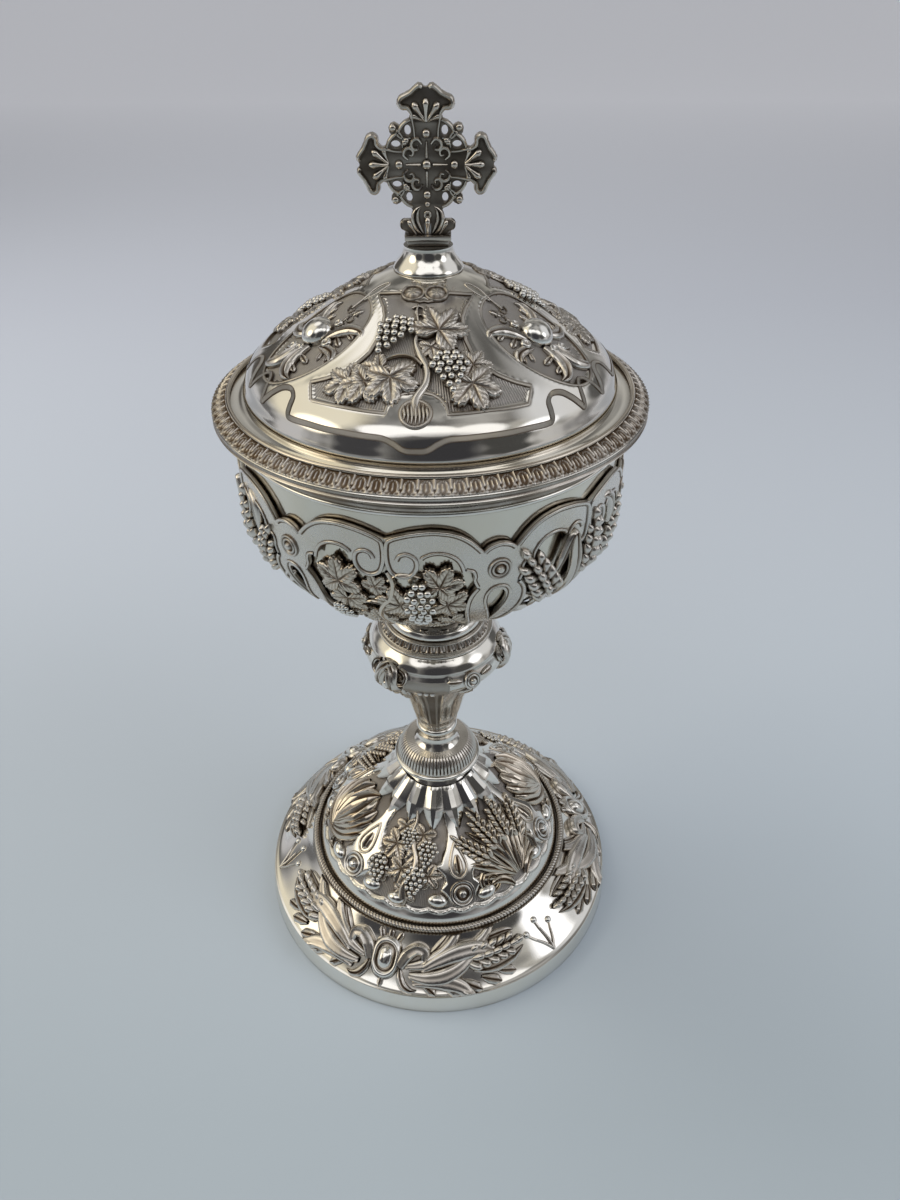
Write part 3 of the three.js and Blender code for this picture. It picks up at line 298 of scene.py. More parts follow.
class Surface:
    """A surface turned about the axis, with its outline from the top edge down."""

    def __init__(self, line):
        self.line = np.array(line, float)
        steps = np.hypot(*np.diff(self.line, axis=0).T)
        self.down = np.concatenate([[0], np.cumsum(steps)])
        self.out = left_of(np.gradient(self.line, self.down, axis=0))

    def radius(self, down):
        return np.interp(down, self.down, self.line[:, 0])

    def down_at(self, height):
        """How far down the outline heights are."""
        return np.interp(-height, -self.line[:, 1], self.down)

    def place(self, azimuth, down, lift):
        """Points in millimetres, from degrees, length down and lift."""
        radius, height, out_r, out_z = (
            np.interp(down, self.down, values) for values in (*self.line.T, *self.out.T))
        angle = np.radians(azimuth)
        radius = radius + out_r * lift
        return np.stack([radius * np.sin(angle), -radius * np.cos(angle), height + out_z * lift], -1)

    def lay(self, flat, azimuth, down, turn, size, lift, flip):
        """Flat points (across, up, lift) laid on the surface round a place, turned and scaled."""
        across, up = turned(flat, turn, size, flip)
        level = down - up
        beside = np.degrees(np.arctan2(across, np.maximum(self.radius(level), 1e-3)))
        return self.place(azimuth + beside, level, flat[:, 2] * size + lift)


class InDegrees:
    """Lays patterns whose width is drawn in degrees."""

    def __init__(self, surface):
        self.surface = surface

    def lay(self, flat, azimuth, down, turn, size, lift, flip):
        return self.surface.place(azimuth + flat[:, 0] * flip, down - flat[:, 1], flat[:, 2] + lift)


# %% [markdown]
# ## Making a mesh
# Two helpers make almost every piece. One spins a closed section about the axis, as a lathe would.
# The other adds a grid and moves its points by a formula, as a sheet of wax would be pressed: a
# grid wrapped round itself becomes a leaf, a wire or a scroll with a closed underside.


# %% Helpers that make meshes
def points_of(obj):
    """The places of an object's vertices."""
    flat = np.empty(len(obj.data.vertices) * 3)
    obj.data.vertices.foreach_get("co", flat)
    return flat.reshape(-1, 3)


def set_points(obj, points):
    obj.data.vertices.foreach_set("co", np.ascontiguousarray(points, float).ravel())
    obj.data.update()


def polar(p):
    """The azimuths in degrees and the radii of points."""
    return np.degrees(np.arctan2(p[:, 0], -p[:, 1])), np.hypot(p[:, 0], p[:, 1])


def pick(*objects):
    """Selects objects and makes the first one active."""
    bpy.ops.object.select_all(action="DESELECT")
    for obj in objects:
        obj.select_set(True)
    bpy.context.view_layer.objects.active = objects[0]


def edit(obj, *steps):
    """Runs edit-mode operators on a whole object."""
    pick(obj)
    bpy.ops.object.mode_set(mode="EDIT")
    bpy.ops.mesh.select_all(action="SELECT")
    for operator, settings in steps:
        operator(**settings)
    bpy.ops.object.mode_set(mode="OBJECT")


OUTWARD = (bpy.ops.mesh.normals_make_consistent, {"inside": False})
WELD = (bpy.ops.mesh.remove_doubles, {"threshold": 1e-4})


def write_tarnish_and_shade(obj, values):
    """Keeps how strongly each point is browned: tarnished in grooves, and given painted shade on undersides,
    in gaps and on dark faces.
    """
    layer = obj.data.attributes.get("hollow") or obj.data.attributes.new("hollow", "FLOAT", "POINT")
    layer.data.foreach_set("value", np.clip(values, 0, 1).astype(np.float32))


def finish(obj, material, body, *nodes, crease=40):
    """Gives a piece its material and edges, and hands it to the body it rides on."""
    obj.data.materials.clear()
    obj.data.materials.append(material)
    pick(obj)
    bpy.ops.object.shade_smooth_by_angle(angle=math.radians(crease))
    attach(obj, body)
    if nodes:
        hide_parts(*nodes)
    print(f"{obj.name}: {len(obj.data.polygons)} faces")


def spun(name, section, steps, bevel=0.0):
    """A closed section of (radius, height) points, turned about the axis by a screw modifier."""
    bpy.ops.mesh.primitive_circle_add(vertices=len(section), radius=0.01)
    obj = bpy.context.object
    obj.name = name
    section = np.array(section, float)
    set_points(obj, np.stack([section[:, 0] * 0, -section[:, 0] * MM, section[:, 1] * MM], -1))
    if bevel:
        edit(obj, (bpy.ops.mesh.bevel, {"offset": bevel * MM, "segments": 3, "affect": "VERTICES"}))
    bpy.ops.object.modifier_add(type="SCREW")
    screw = obj.modifiers["Screw"]
    screw.steps = screw.render_steps = steps
    screw.use_merge_vertices = True
    screw.merge_threshold = 1e-6
    bpy.ops.object.modifier_apply(modifier=screw.name)
    edit(obj, OUTWARD)
    return obj


def bored(line, bore):
    """The closed section of an outline round a straight bore."""
    return np.vstack([[(bore, line[0][1])], line, [(bore, line[-1][1])]])


def sheet_section(surface, wall, step=1):
    """The closed section of a sheet: its outside from the top edge down, and its inside back."""
    inside = surface.line - surface.out * wall
    inside[:, 0] = np.maximum(inside[:, 0], 0)
    return np.vstack([surface.line, inside[::-step]])


def ring_section(radius, height, size, count):
    """The round section of a wire ring."""
    return [(radius + size * math.cos(a), height + size * math.sin(a))
            for a in np.linspace(0, 2 * np.pi, count + 1)[:-1]]


def chase(obj, surface, wall, relief, hollow=None):
    """Works a spun sheet from both sides: relief(azimuth, down) lifts it along its normal."""
    p = points_of(obj) / MM
    azimuth, radius = polar(p)
    outside = len(surface.line)
    both = np.vstack([surface.line, surface.line - surface.out * wall])
    down, off = np.empty(len(p)), np.empty(len(p))
    at_once = 4000
    for start in range(0, len(p), at_once):
        part = slice(start, start + at_once)
        gap = (radius[part, None] - both[:, 0]) ** 2 + (p[part, 2, None] - both[:, 1]) ** 2
        near = gap.argmin(1)
        down[part] = surface.down[near % outside]
        off[part] = np.where(near < outside, 0.0, -wall)
    set_points(obj, surface.place(azimuth, down, off + relief(azimuth, down)) * MM)
    if hollow:
        write_tarnish_and_shade(obj, np.where(off < 0, 0.0, hollow(azimuth, down)))


def carve(obj, surface, core, relief, hollow):
    """Works only the outside of a thick spun piece, beyond a core radius."""
    p = points_of(obj) / MM
    azimuth, radius = polar(p)
    down = surface.down_at(p[:, 2])
    outer = radius > core
    set_points(obj, np.where(outer[:, None], surface.place(azimuth, down, relief(azimuth, down)), p) * MM)
    write_tarnish_and_shade(obj, hollow(azimuth, down) * outer)


def pressed(name, columns, rows, formula):
    """A grid whose points a formula moves: formula(u, v) gives places and how strongly they are tarnished and
    painted with shade.
    """
    bpy.ops.mesh.primitive_grid_add(x_subdivisions=columns, y_subdivisions=rows, size=1)
    obj = bpy.context.object
    obj.name = name
    p = points_of(obj)
    places, hollow = formula(p[:, 0] + 0.5, p[:, 1] + 0.5)
    set_points(obj, places)
    write_tarnish_and_shade(obj, hollow)
    edit(obj, WELD, OUTWARD)
    return obj


def join(name, pieces):
    """Several objects as one."""
    pick(*pieces)
    if len(pieces) > 1:
        bpy.ops.object.join()
    pieces[0].name = name
    return pieces[0]


# %% [markdown]
# ## Foot rim and cup
# The plain pieces are lathe work: a closed section, bevelled at its corners and spun. The foot
# stands on the rim's flat lower edge.


# %% Foot rim
def lathe(name, replaced, section, steps, bevel=0.0, body="vessel", material=None, crease=40):
    """A plain turned piece, polished unless a material is given."""
    finish(spun(name, section, steps, bevel), material or POLISHED, body, replaced, crease=crease)


WIDE, STEM, FLUTED = 240, 128, 480
rim_section = [(75, 0), (74.9, 3), (74.3, 6), (73.8, 8.5), (72.8, 8.5), (72.8, 2.4), (71.4, 2.4), (71.4, 0)]
lathe("foot_rim_band", "foot_rim", rim_section, WIDE, 0.25)

# %% Cup bowl and its two beads
BOWL, LIP, ROUND, DEEP = 58.1, 224.64, 196.84, 38.0


def bowl_point(angle, off=0.0):
    """A point of the bowl's round part. The angle is counted up from the bottom."""
    away = np.array([math.sin(angle) / BOWL, -math.cos(angle) / DEEP])
    away /= np.linalg.norm(away)
    return np.array([BOWL * math.sin(angle), ROUND - DEEP * math.cos(angle)]) + away * off


bowl_line = [
    (BOWL, LIP), (BOWL, 214), (BOWL, 205), *(bowl_point(a) for a in np.linspace(math.pi / 2, 0.14, 28)),
    (0.0, 159.2)]
lathe("cup_bowl", "cup", sheet_section(Surface(bowl_line), 1.0), WIDE, material=CUP_WALL)
bead_section = [(58.35, 217.3)]
for middle, size in ((218.25, 0.85), (220.2, 1.05)):
    for a in np.radians(np.linspace(-80, 80, 7)):
        bead_section.append((58.7 + size * math.cos(a), middle + size * math.sin(a)))
bead_section.append((58.35, 221.2))
beads = spun("cup_rim_beads", bead_section, WIDE)
# Painted shadow: the upper bead, which lies under the overhang of the lid's flange, is browned to stand for
# the shade there.
write_tarnish_and_shade(beads, (points_of(beads)[:, 2] / MM - 219.1) / 0.2)
finish(beads, POLISHED, "vessel", "cup_rim_moulding")

# %% [markdown]
# ## Stem
# Disc, fluted ring, spool and rings are turned one by one. The fluted ring is spun smooth and then
# its wall is pushed in between the flutes. The polished ring at the top carries the cup.

# %% Stem pieces
ROD = 3.4
disc_section = [(ROD, 64), (13, 64), (16, 67.9), (17.4, 68.8), (17.4, 69.9), (16.6, 70.5), (ROD, 70.5)]
lathe("stem_disc", "base_disc", disc_section, STEM, 0.35)

flute_line = smooth([(12.7, 77.2), (13.9, 76.2), (15.3, 74.2), (15.9, 72.2), (16.2, 70.5)], 16)
fluted = spun("stem_fluted_ring", bored(flute_line, ROD), FLUTED)
p = points_of(fluted) / MM
azimuth, out = polar(p)
groove = np.clip(1 - np.abs(np.sin(np.radians(azimuth) * 34)) * 1.6, 0, 1) * (out > 12.8) * (p[:, 2] > 70.9)
p[:, :2] *= (1 - 0.045 * groove)[:, None]
set_points(fluted, p * MM)
write_tarnish_and_shade(fluted, groove * 0.9)
finish(fluted, EMBOSSED, "vessel", "fluted_ring")

neck_line = smooth([(7.3, 84), (6.9, 82.2), (7.0, 80.6), (7.7, 78.9), (9.2, 77.2)], 14)
lathe("stem_spool", "stem_neck", bored(neck_line, ROD), STEM)
collar_section = [(ROD, 84), (7.4, 84), (8.1, 84.8), (8.1, 86.2), (7.4, 87), (ROD, 87)]
lathe("stem_neck_ring", "neck_ring", collar_section, STEM, 0.4)
ring_line = smooth(
    [(14.0, 145), (15.6, 144.3), (16.6, 143.4), (17.2, 142.2), (17.1, 141.3), (16.4, 140.6)], 16)
lathe("stem_top_ring_bright", "stem_top_ring", bored(ring_line, 9), STEM)

# %% [markdown]
# ## Patterns for the ornament
# The chaser of such a cup used a few motifs again and again: vine leaf, bunch of grapes, ear of
# wheat, reed leaf, scroll and button. Each is modelled once, flat and in millimetres, and then laid
# on the metal wherever it is needed. A leaf grows in rings from its stalk out to a lobed edge; a
# blade or wire is a strip swept along a path; a plate is drawn as a flat curve and filled.


# %% Helpers for flat patterns
PATTERN = "pattern_"
UNDERSIDE_SHADE = 0.6  # painted shade on the underside of a pattern, so that the gaps under it are dark


def pad(name, edge, relief, columns=96, rows=10, sink=0.5):
    """A pattern that grows in rings out to edge(angle). relief(x, y, share) gives lift and hollow."""

    def formula(u, v):
        angle = 2 * np.pi * u
        k = np.rint(v * (rows + 2))
        share = np.where(k == rows + 2, 0.0, np.minimum(k / rows, 1.0))
        reach = edge(angle) * share
        x, y = reach * np.sin(angle), reach * np.cos(angle)
        lift, hollow = relief(x, y, share)
        under = k > rows
        lift = np.where(share == 0, np.mean(lift[share == 0]), lift)
        # The underside gets painted shade.
        return np.stack([x, y, np.where(under, -sink, lift)], -1), np.where(under, UNDERSIDE_SHADE, hollow)

    return pressed(PATTERN + name, columns, rows + 2, formula)


def dome_of(c):
    """The height of a half round from side to side."""
    return np.sqrt(np.clip(1 - c * c, 0, 1))


def round_section(c):
    return dome_of(c), 0 * c


def leaf_section(c):
    """A rounded blade with a groove down its middle."""
    groove = np.exp(-((c / 0.16) ** 2))
    return dome_of(c) ** 0.7 * (1 - 0.55 * groove), groove * 0.9


def ribbon_section(c):
    return 0 * c + 1, np.clip((np.abs(c) - 0.72) * 6, 0, 1)


def border_section(c):
    """A raised round edge on one side, with a dark engraved line beside it."""
    return (np.where(c > -0.5, dome_of((c - 0.25) / 0.75), 0.12),
            np.clip((-c - 0.3) * 6, 0, 1) + np.clip((c - 0.8) * 6, 0, 1))


def frame_section(c):
    """A flat strip with a fine bead in the middle and an engraved line on each side."""
    flat = 0.45 + 0.55 * np.exp(-((c / 0.42) ** 4))
    return np.where(np.abs(c) > 0.97, 0.2, flat), np.clip((np.abs(c) - 0.55) * 4, 0, 1)


def fold_section(c):
    """A leaf folded along its middle, dark at its edge."""
    return 1.3 - 1.15 * np.abs(c), 0.7 * np.exp(-(((np.abs(c) - 0.97) / 0.1) ** 2))


def along_line(values, count):
    """Values spread evenly over the points of a line."""
    return np.interp(np.linspace(0, 1, count), np.linspace(0, 1, np.size(values)), np.atleast_1d(values))


def band(name, left, right, tall, section=round_section, rows=12, sink=0.5):
    """A strip between two flat edges of as many points. tall and section shape its top."""
    tall = along_line(tall, len(left))

    def formula(u, v):
        k = np.rint(u * (len(left) - 1)).astype(int)
        c, top = np.cos(2 * np.pi * v), np.sin(2 * np.pi * v) > -1e-6
        share = ((1 - c) / 2)[:, None]
        lift, hollow = section(c)
        # The underside gets painted shade.
        return (
            np.column_stack([left[k] * (1 - share) + right[k] * share, np.where(top, lift * tall[k],
            -sink)]), np.where(top, hollow, UNDERSIDE_SHADE))

    return pressed(PATTERN + name, len(left) - 1, rows, formula)


def swept(name, path, wide, tall, section=round_section, rows=8, sink=0.4, steps=None):
    """A strip swept along a smooth path. wide is its half width; it and tall may change on the way."""
    line = smooth(path, steps or 6 * len(path))
    along = np.gradient(line, axis=0)
    if np.allclose(line[0], line[-1]):
        along[0] = along[-1] = line[1] - line[-2]
    side = left_of(along) * along_line(wide, len(line))[:, None]
    return band(name, line + side, line - side, tall, section, rows, sink)


def leaf(name, path, wide, tall, steps, rows=16):
    return swept(name, path, wide, tall, leaf_section, rows, steps=steps)


def plate(name, outlines, thick, bevel):
    """A flat plate cut to closed outlines, its holes among them, with its back at lift 0."""
    curve = bpy.data.curves.new(name, "CURVE")
    curve.dimensions, curve.fill_mode = "2D", "BOTH"
    curve.extrude, curve.bevel_depth, curve.bevel_resolution = thick / 2 - bevel, bevel, 1
    curve.offset = -bevel
    for outline in outlines:
        spline = curve.splines.new("POLY")
        spline.points.add(len(outline) - 1)
        spline.points.foreach_set("co", np.array([(x, y, 0, 1) for x, y in outline], float).ravel())
        spline.use_cyclic_u = True
    obj = bpy.data.objects.new(PATTERN + name, curve)
    bpy.context.scene.collection.objects.link(obj)
    pick(obj)
    bpy.ops.object.convert(target="MESH")
    obj = bpy.context.object
    edit(obj, WELD, OUTWARD)
    p = points_of(obj) + [0, 0, thick / 2]
    set_points(obj, p)
    # Painted shade on the back half of the plate.
    write_tarnish_and_shade(obj, np.where(p[:, 2] < thick * 0.4, UNDERSIDE_SHADE, 0.0))
    return obj


def diced(obj, across, up):
    """Cuts a flat plate into strips both ways, so that it can bend."""
    p = points_of(obj)
    low, high = p.min(0), p.max(0)
    cuts = [((x, 0, 0), (1, 0, 0)) for x in np.arange(low[0] + across, high[0] - across / 4, across)]
    cuts += [((0, y, 0), (0, 1, 0)) for y in np.arange(low[1] + up, high[1] - up / 4, up)]
    steps = []
    for place, normal in cuts:
        steps += [(bpy.ops.mesh.select_all, {"action": "SELECT"}),
                  (bpy.ops.mesh.bisect, {"plane_co": place, "plane_no": normal})]
    edit(obj, *steps)
    return obj


def copied(template):
    """A copy of a pattern with its own mesh."""
    made = template.copy()
    made.data = template.data.copy()
    bpy.context.scene.collection.objects.link(made)
    return made


def placed(rest):
    """Turn, size, lift and flip of a placement, of which the last may be left out."""
    return [*rest, *(0.0, 1.0, 0.0, 1)[len(rest):]]


def laid(name, material, body, placements, *nodes, crease=50):
    """Lays copies of patterns on surfaces and joins them.

    A placement is (pattern, surface, azimuth, down, turn, size, lift, flip).
    """
    pieces = []
    for pattern, surface, azimuth, down, *rest in placements:
        pieces.append(copied(pattern))
        set_points(pieces[-1], surface.lay(points_of(pattern), azimuth, down, *placed(rest)) * MM)
    made = join(name, pieces)
    edit(made, OUTWARD)
    finish(made, material, body, *nodes, crease=crease)


def motif(name, parts):
    """A pattern put together from placed parts: (part, across, up, turn, size, lift, flip)."""
    pieces = []
    for part, across, up, *rest in parts:
        turn, size, lift, flip = placed(rest)
        p = points_of(part)
        x, y = turned(p, turn, size, flip)
        pieces.append(copied(part))
        set_points(pieces[-1], np.column_stack([x + across, y + up, p[:, 2] * size + lift]))
    return join(PATTERN + name, pieces)


def on(surface, middle, rows):
    """Placements round a middle, from (pattern, across, down, turn, size, lift, flip) rows."""
    return [(pattern, surface, middle + across, *rest) for pattern, across, *rest in rows]


def both_sides(surface, middle, rows):
    """Mirrored placements on both sides of a middle. A flip of 0 leaves the pattern as it is."""
    return [(pattern, surface, middle + side * across, down, side * turn, size, lift, side * flip or 1)
            for side in (-1, 1) for pattern, across, down, turn, size, lift, flip in rows]


# %% [markdown]
# ## Vine leaf
# A vine leaf has five lobes with toothed edges, and veins that run from the stalk to each tip. The
# veins are cut as grooves and the metal between them is puffed up a little.

# %% Vine leaf pattern
LOBES = [
    (0, 1.0), (13, 0.92), (25, 0.70), (31, 0.67), (41, 0.88), (55, 0.99), (69, 0.90), (82, 0.64),
    (90, 0.62), (104, 0.83), (120, 0.88), (137, 0.78), (156, 0.52), (170, 0.24), (180, 0.12)]
LOBES += [(360 - a, r) for a, r in LOBES[-2:0:-1]] + [(360, 1.0)]
LOBE_AXES = (0, 55, -55, 117, -117)
LEAF_REACH, TOOTH = 6.0, 9.5


def vine_edge(angle):
    turn = np.degrees(angle) % 360
    tooth = np.abs((turn / TOOTH) % 1 - 0.5) * 2
    return LEAF_REACH * np.interp(turn, *zip(*LOBES)) * (0.955 + 0.10 * tooth)


def vine_relief(x, y, share):
    nearest, run = np.full(x.shape, 9.0), np.zeros(x.shape)
    for a in np.radians(LOBE_AXES):
        along, aside = x * math.sin(a) + y * math.cos(a), np.abs(x * math.cos(a) - y * math.sin(a))
        better = (along > -0.2) & (aside < nearest)
        nearest, run = np.where(better, aside, nearest), np.where(better, along, run)
    vein = np.exp(-((nearest / 0.20) ** 2))
    ribs = np.exp(-((((run - nearest * 1.1) / 1.15) % 1 - 0.5) / 0.16) ** 2) * np.clip(nearest / 0.4, 0, 1)
    puff = 1 - np.exp(-((nearest / 0.9) ** 2))
    lift = 0.75 + 0.6 * puff * (1 - share**3) - 0.34 * vein * (1 - share**2) - 0.16 * ribs + 0.25 * (
        1 - share)
    lift = np.where(share > 0.97, lift * 0.55, lift)
    return lift, np.clip(0.65 * vein * (share < 0.9) + 0.5 * ribs, 0, 1)


vine_leaf = pad("vine_leaf", vine_edge, vine_relief, columns=152, rows=13)
print("vine leaf:", len(vine_leaf.data.polygons), "faces")


# %% [markdown]
# ## Berries, grapes and fruit
# A berry is a small ball half sunk in the metal. Rows of them, highest in the middle, make a bunch.

# %% Berry, grapes and oval fruit
def ball(name, radius, tall=1.0, detail=2, eye=False):
    """A berry, flattened, and with a hollow eye if wanted."""
    bpy.ops.mesh.primitive_ico_sphere_add(subdivisions=detail, radius=radius)
    obj = bpy.context.object
    obj.name = PATTERN + name
    p = points_of(obj) * [1, 1, tall]
    aside = np.hypot(p[:, 0], p[:, 1])
    upper = p[:, 2] > 0
    if eye:
        p[:, 2] -= np.where(upper, np.exp(-((aside / (radius * 0.45)) ** 2)) * radius * 0.9, 0)
    set_points(obj, p)
    # Painted shade: a plain berry is browned on its lower half, more towards its bottom; a ringed berry is
    # tarnished in its eye.
    write_tarnish_and_shade(obj, np.exp(-((aside / (radius * 0.4)) ** 2)) * (p[:, 2] > 0) if eye else -p[:, 2])
    return obj


berry = ball("berry", 1.13, detail=3)
small_berry = ball("small_berry", 0.9)
ringed_berry = ball("ringed_berry", 1.7, 0.9, detail=3, eye=True)
fruit = ball("fruit", 1.0, 0.75, detail=4)

# How many grapes a row has, how far up it lies and how high it is lifted.
BUNCH_ROWS = [(3, 5.4, 0.2), (4, 3.4, 0.75), (5, 1.3, 1.2), (4, -0.8, 1.3), (3, -2.9, 1.0), (2, -4.9, 0.6),
              (1, -6.7, 0.2)]
LONG_ROWS = [
    (2, 8.4, 0.2), (3, 6.3, 0.7), (4, 4.2, 1.0), (3, 2.1, 1.3), (4, 0, 1.2), (3, -2.1, 1.2), (3, -4.2, 0.9),
    (2, -6.3, 0.7), (1, -8.0, 0.3)]
PITCH = 2.32


def bunch(name, one, pitch=PITCH, lean=0.0, rows=BUNCH_ROWS):
    """A bunch of grapes that hangs down, its rows leaning aside."""
    parts = []
    for row, (count, up, lift) in enumerate(rows):
        up = up * pitch / PITCH
        for k in range(count):
            across = (k - (count - 1) / 2) * pitch + lean * (4.6 - up) + 0.25 * math.sin(5 * k + 3 * row)
            parts.append((one, across, up + 0.2 * math.sin(9 * k + row), 0.0,
                          0.96 + 0.07 * math.sin(7 * k + row), 0.55 + lift * (1 - (across / 7) ** 2)))
    return motif(name, parts)


grapes = bunch("grapes", berry)
grapes_leaning = bunch("grapes_leaning", berry, lean=-0.28)
small_grapes = bunch("small_grapes", small_berry, pitch=1.85)
long_grapes = bunch("long_grapes", small_berry, pitch=1.8, rows=LONG_ROWS)
print("grapes:", len(grapes.data.polygons), "faces")

# %% [markdown]
# ## Wheat and reeds
# An ear of wheat is a stalk with plump grains in two slanting rows and a third row on top. A reed
# leaf is a long blade with a groove down its middle.

# %% Wheat ear and blades
grain = swept("grain", [(0, 0), (0.1, 1.2), (0, 2.6), (-0.1, 3.6)], [0.25, 1.0, 0.95, 0.08],
              [0.35, 0.95, 1.6, 0.5], rows=10, steps=10)
stalk = swept(
    "stalk", [(0, -8), (0.3, -4), (0, 0), (0, 14)], [0.45, 0.5, 0.45, 0.3], [0.7, 0.8, 0.8, 0.5], steps=16)
GRAIN_PITCH = 2.5
ear = [(stalk, 0, -1)]
for row in range(5):
    up = row * GRAIN_PITCH
    ear += [(grain, side * 0.6, up, -side * 35, 1.2 - 0.05 * row, 0.1, side) for side in (-1, 1)]
    ear.append((grain, 0, up + GRAIN_PITCH / 2, 0, 0.95 - 0.04 * row, 0.8))
wheat_ear = motif("wheat_ear", [*ear, (grain, 0, 12.6, 0, 1.0, 0.2)])

reed = leaf("reed", [(0, 0), (0.6, 5), (0.2, 10), (-0.8, 15), (-2.4, 19)], [0.7, 1.5, 1.9, 1.4, 0.1],
            [0.8, 1.3, 1.3, 1.0, 0.2], 30)
curl_leaf = leaf(
    "curl_leaf", [(0, 0), (1.5, 3), (2.0, 6.5), (0.6, 9.5), (-1.6, 10.6)], [0.6, 1.7, 1.9, 1.2, 0.2],
    [0.7, 1.4, 1.5, 1.2, 0.3], 28)
petal = leaf("petal", [(0, 0), (0, 2.5), (0, 5.2), (0, 7)], [0.6, 1.6, 1.7, 0.15], [0.7, 1.3, 1.3, 0.3], 18)
print("wheat ear:", len(wheat_ear.data.polygons), "faces")

# %% [markdown]
# ## Scroll, tendril and button
# A scroll is a wire on a spiral. A button is a low round knob inside a ring.


# %% Scrolls and buttons
def spiral(turns, start, end):
    """Points of a spiral round the origin, from one radius to another."""
    t = np.linspace(0, 1, 26)
    a, r = t * turns * 2 * math.pi, start + (end - start) * t
    return np.stack([r * np.sin(a), r * np.cos(a)], 1)


scroll = leaf("scroll", spiral(1.4, 4.2, 0.7), [1.1, 0.9, 0.6, 0.5], [1.2, 1.2, 1.1, 1.0], 44, rows=12)
tendril = swept("tendril", spiral(1.1, 2.2, 0.6), [0.3, 0.28, 0.22], [0.5, 0.45, 0.4], rows=6, steps=30)


def button(name, *rings, depth=1.0):
    """A round button from (radius, lift, hollow) rings, from its middle out. depth makes it oval."""
    radii, lifts, hollows = np.array(rings, float).T

    def relief(x, y, share):
        return np.interp(share * radii[-1], radii, lifts), np.interp(share * radii[-1], radii, hollows)

    def edge(angle):
        return radii[-1] * np.hypot(np.sin(angle), depth * np.cos(angle))

    return pad(name, edge, relief, columns=44, rows=18, sink=0.4)


boss = button("boss", (0, 1.5, 0), (0.8, 1.35, 0), (1.15, 0.55, 0.9), (1.5, 0.25, 0.9), (1.8, 0.75, 0.2),
              (2.2, 0.85, 0.1), (2.5, 0.3, 0.9), (2.8, 0.7, 0.3), (3.2, 0.75, 0.1), (3.4, 0.45, 0.8))

# %% [markdown]
# ## Calyx: straps and arches
# The bowl sits in an openwork casting. Its skeleton is a flat plate, six times the same: a strap
# with a drop-shaped opening and a button, and two C-shaped arches that meet in scrolls. The plate is
# drawn flat, with degrees across and millimetres up, filled as a curve with a hole, cut into strips
# and bent round the bowl. Raised borders with an engraved line follow its edges.

# %% The surface that the calyx lies on
calyx_line = [(58.55, z) for z in np.linspace(216, 198, 19)]
for a in np.linspace(0.5, 0.14, 40):
    calyx_line.append(bowl_point(a * math.pi, 0.45 + 2.6 * max(0.0, (0.24 - a) / 0.1) ** 1.5))
calyx_line += [*smooth([calyx_line[-1], (20.4, 152.4), (16.6, 148.6), (13.4, 146.2)], 12)[1:]]
calyx = Surface(calyx_line)
calyx_wide = InDegrees(calyx)
TOP = calyx.down_at(210.0)


def drawn(points):
    """Points (degrees, height) as (degrees, millimetres up along the calyx from 210)."""
    return [(x, TOP - calyx.down_at(z)) for x, z in points]


def mirrored(points):
    """The same points on the left, in the opposite order."""
    return [(-x, y) for x, y in points[::-1]]


ARCH_TOP = [(5.6, 207.8), (7.5, 209.9), (10, 211.8), (12.6, 213.0), (15.4, 213.6), (18, 213.8), (21, 213.5),
            (24, 212.9), (27, 211.9)]
VALLEY = (30, 210.8)
DISC = [(25.6 + 4.35 * math.cos(a), 203.2 + 4.6 * math.sin(a)) for a in np.radians(range(0, -191, -15))]
ARCH_UNDER = [
    (20.2, 206.2), (18.0, 207.2), (15.4, 207.3), (13.0, 206.5), (11.0, 204.9), (9.8, 202.8), (9.2, 200.6)]
WAIST = [(7.4, 200.0), (7.0, 198.6), (7.1, 197.0), (6.2, 194.8)]
STRAP_SIDE = [
    (7.6, 192.8), (8.5, 190.3), (8.8, 187.2), (8.6, 184.0), (8.0, 181.0), (7.2, 178.0), (6.6, 175.0),
    (6.2, 172.0), (6.2, 168.5), (6.8, 165.2), (7.6, 162.6)]
right_side = [
    (1.6, 208.1), (3.2, 207.4), (4.4, 206.2), *ARCH_TOP, VALLEY, *DISC, *ARCH_UNDER, *WAIST, *STRAP_SIDE]
DROP = [
    (0, 192.9), (1.5, 192.4), (2.4, 190.9), (2.6, 189.0), (2.3, 186.9), (1.6, 184.2), (0.8, 181.4),
    (0, 179.0)]

PLATE = 1.25
outlines = [drawn([(0, 208.3), *right_side, *mirrored(right_side)]), drawn([*DROP, *mirrored(DROP[1:-1])])]
strap_plate = diced(plate("strap_plate", outlines, PLATE, 0.14), 2.5, 3.0)
print("strap plate:", len(strap_plate.data.polygons), "faces")


# %% Borders of the straps and arches
def border(name, points, wide=0.7, tall=0.5, steps=None):
    return swept(name, drawn(points), wide, tall, border_section, rows=20, sink=0.15, steps=steps)


def inset(points, by):
    """Points moved to the right of their direction, to lie inside an edge."""
    p = np.array(points, float)
    return p - left_of(np.gradient(p, axis=0)) * by


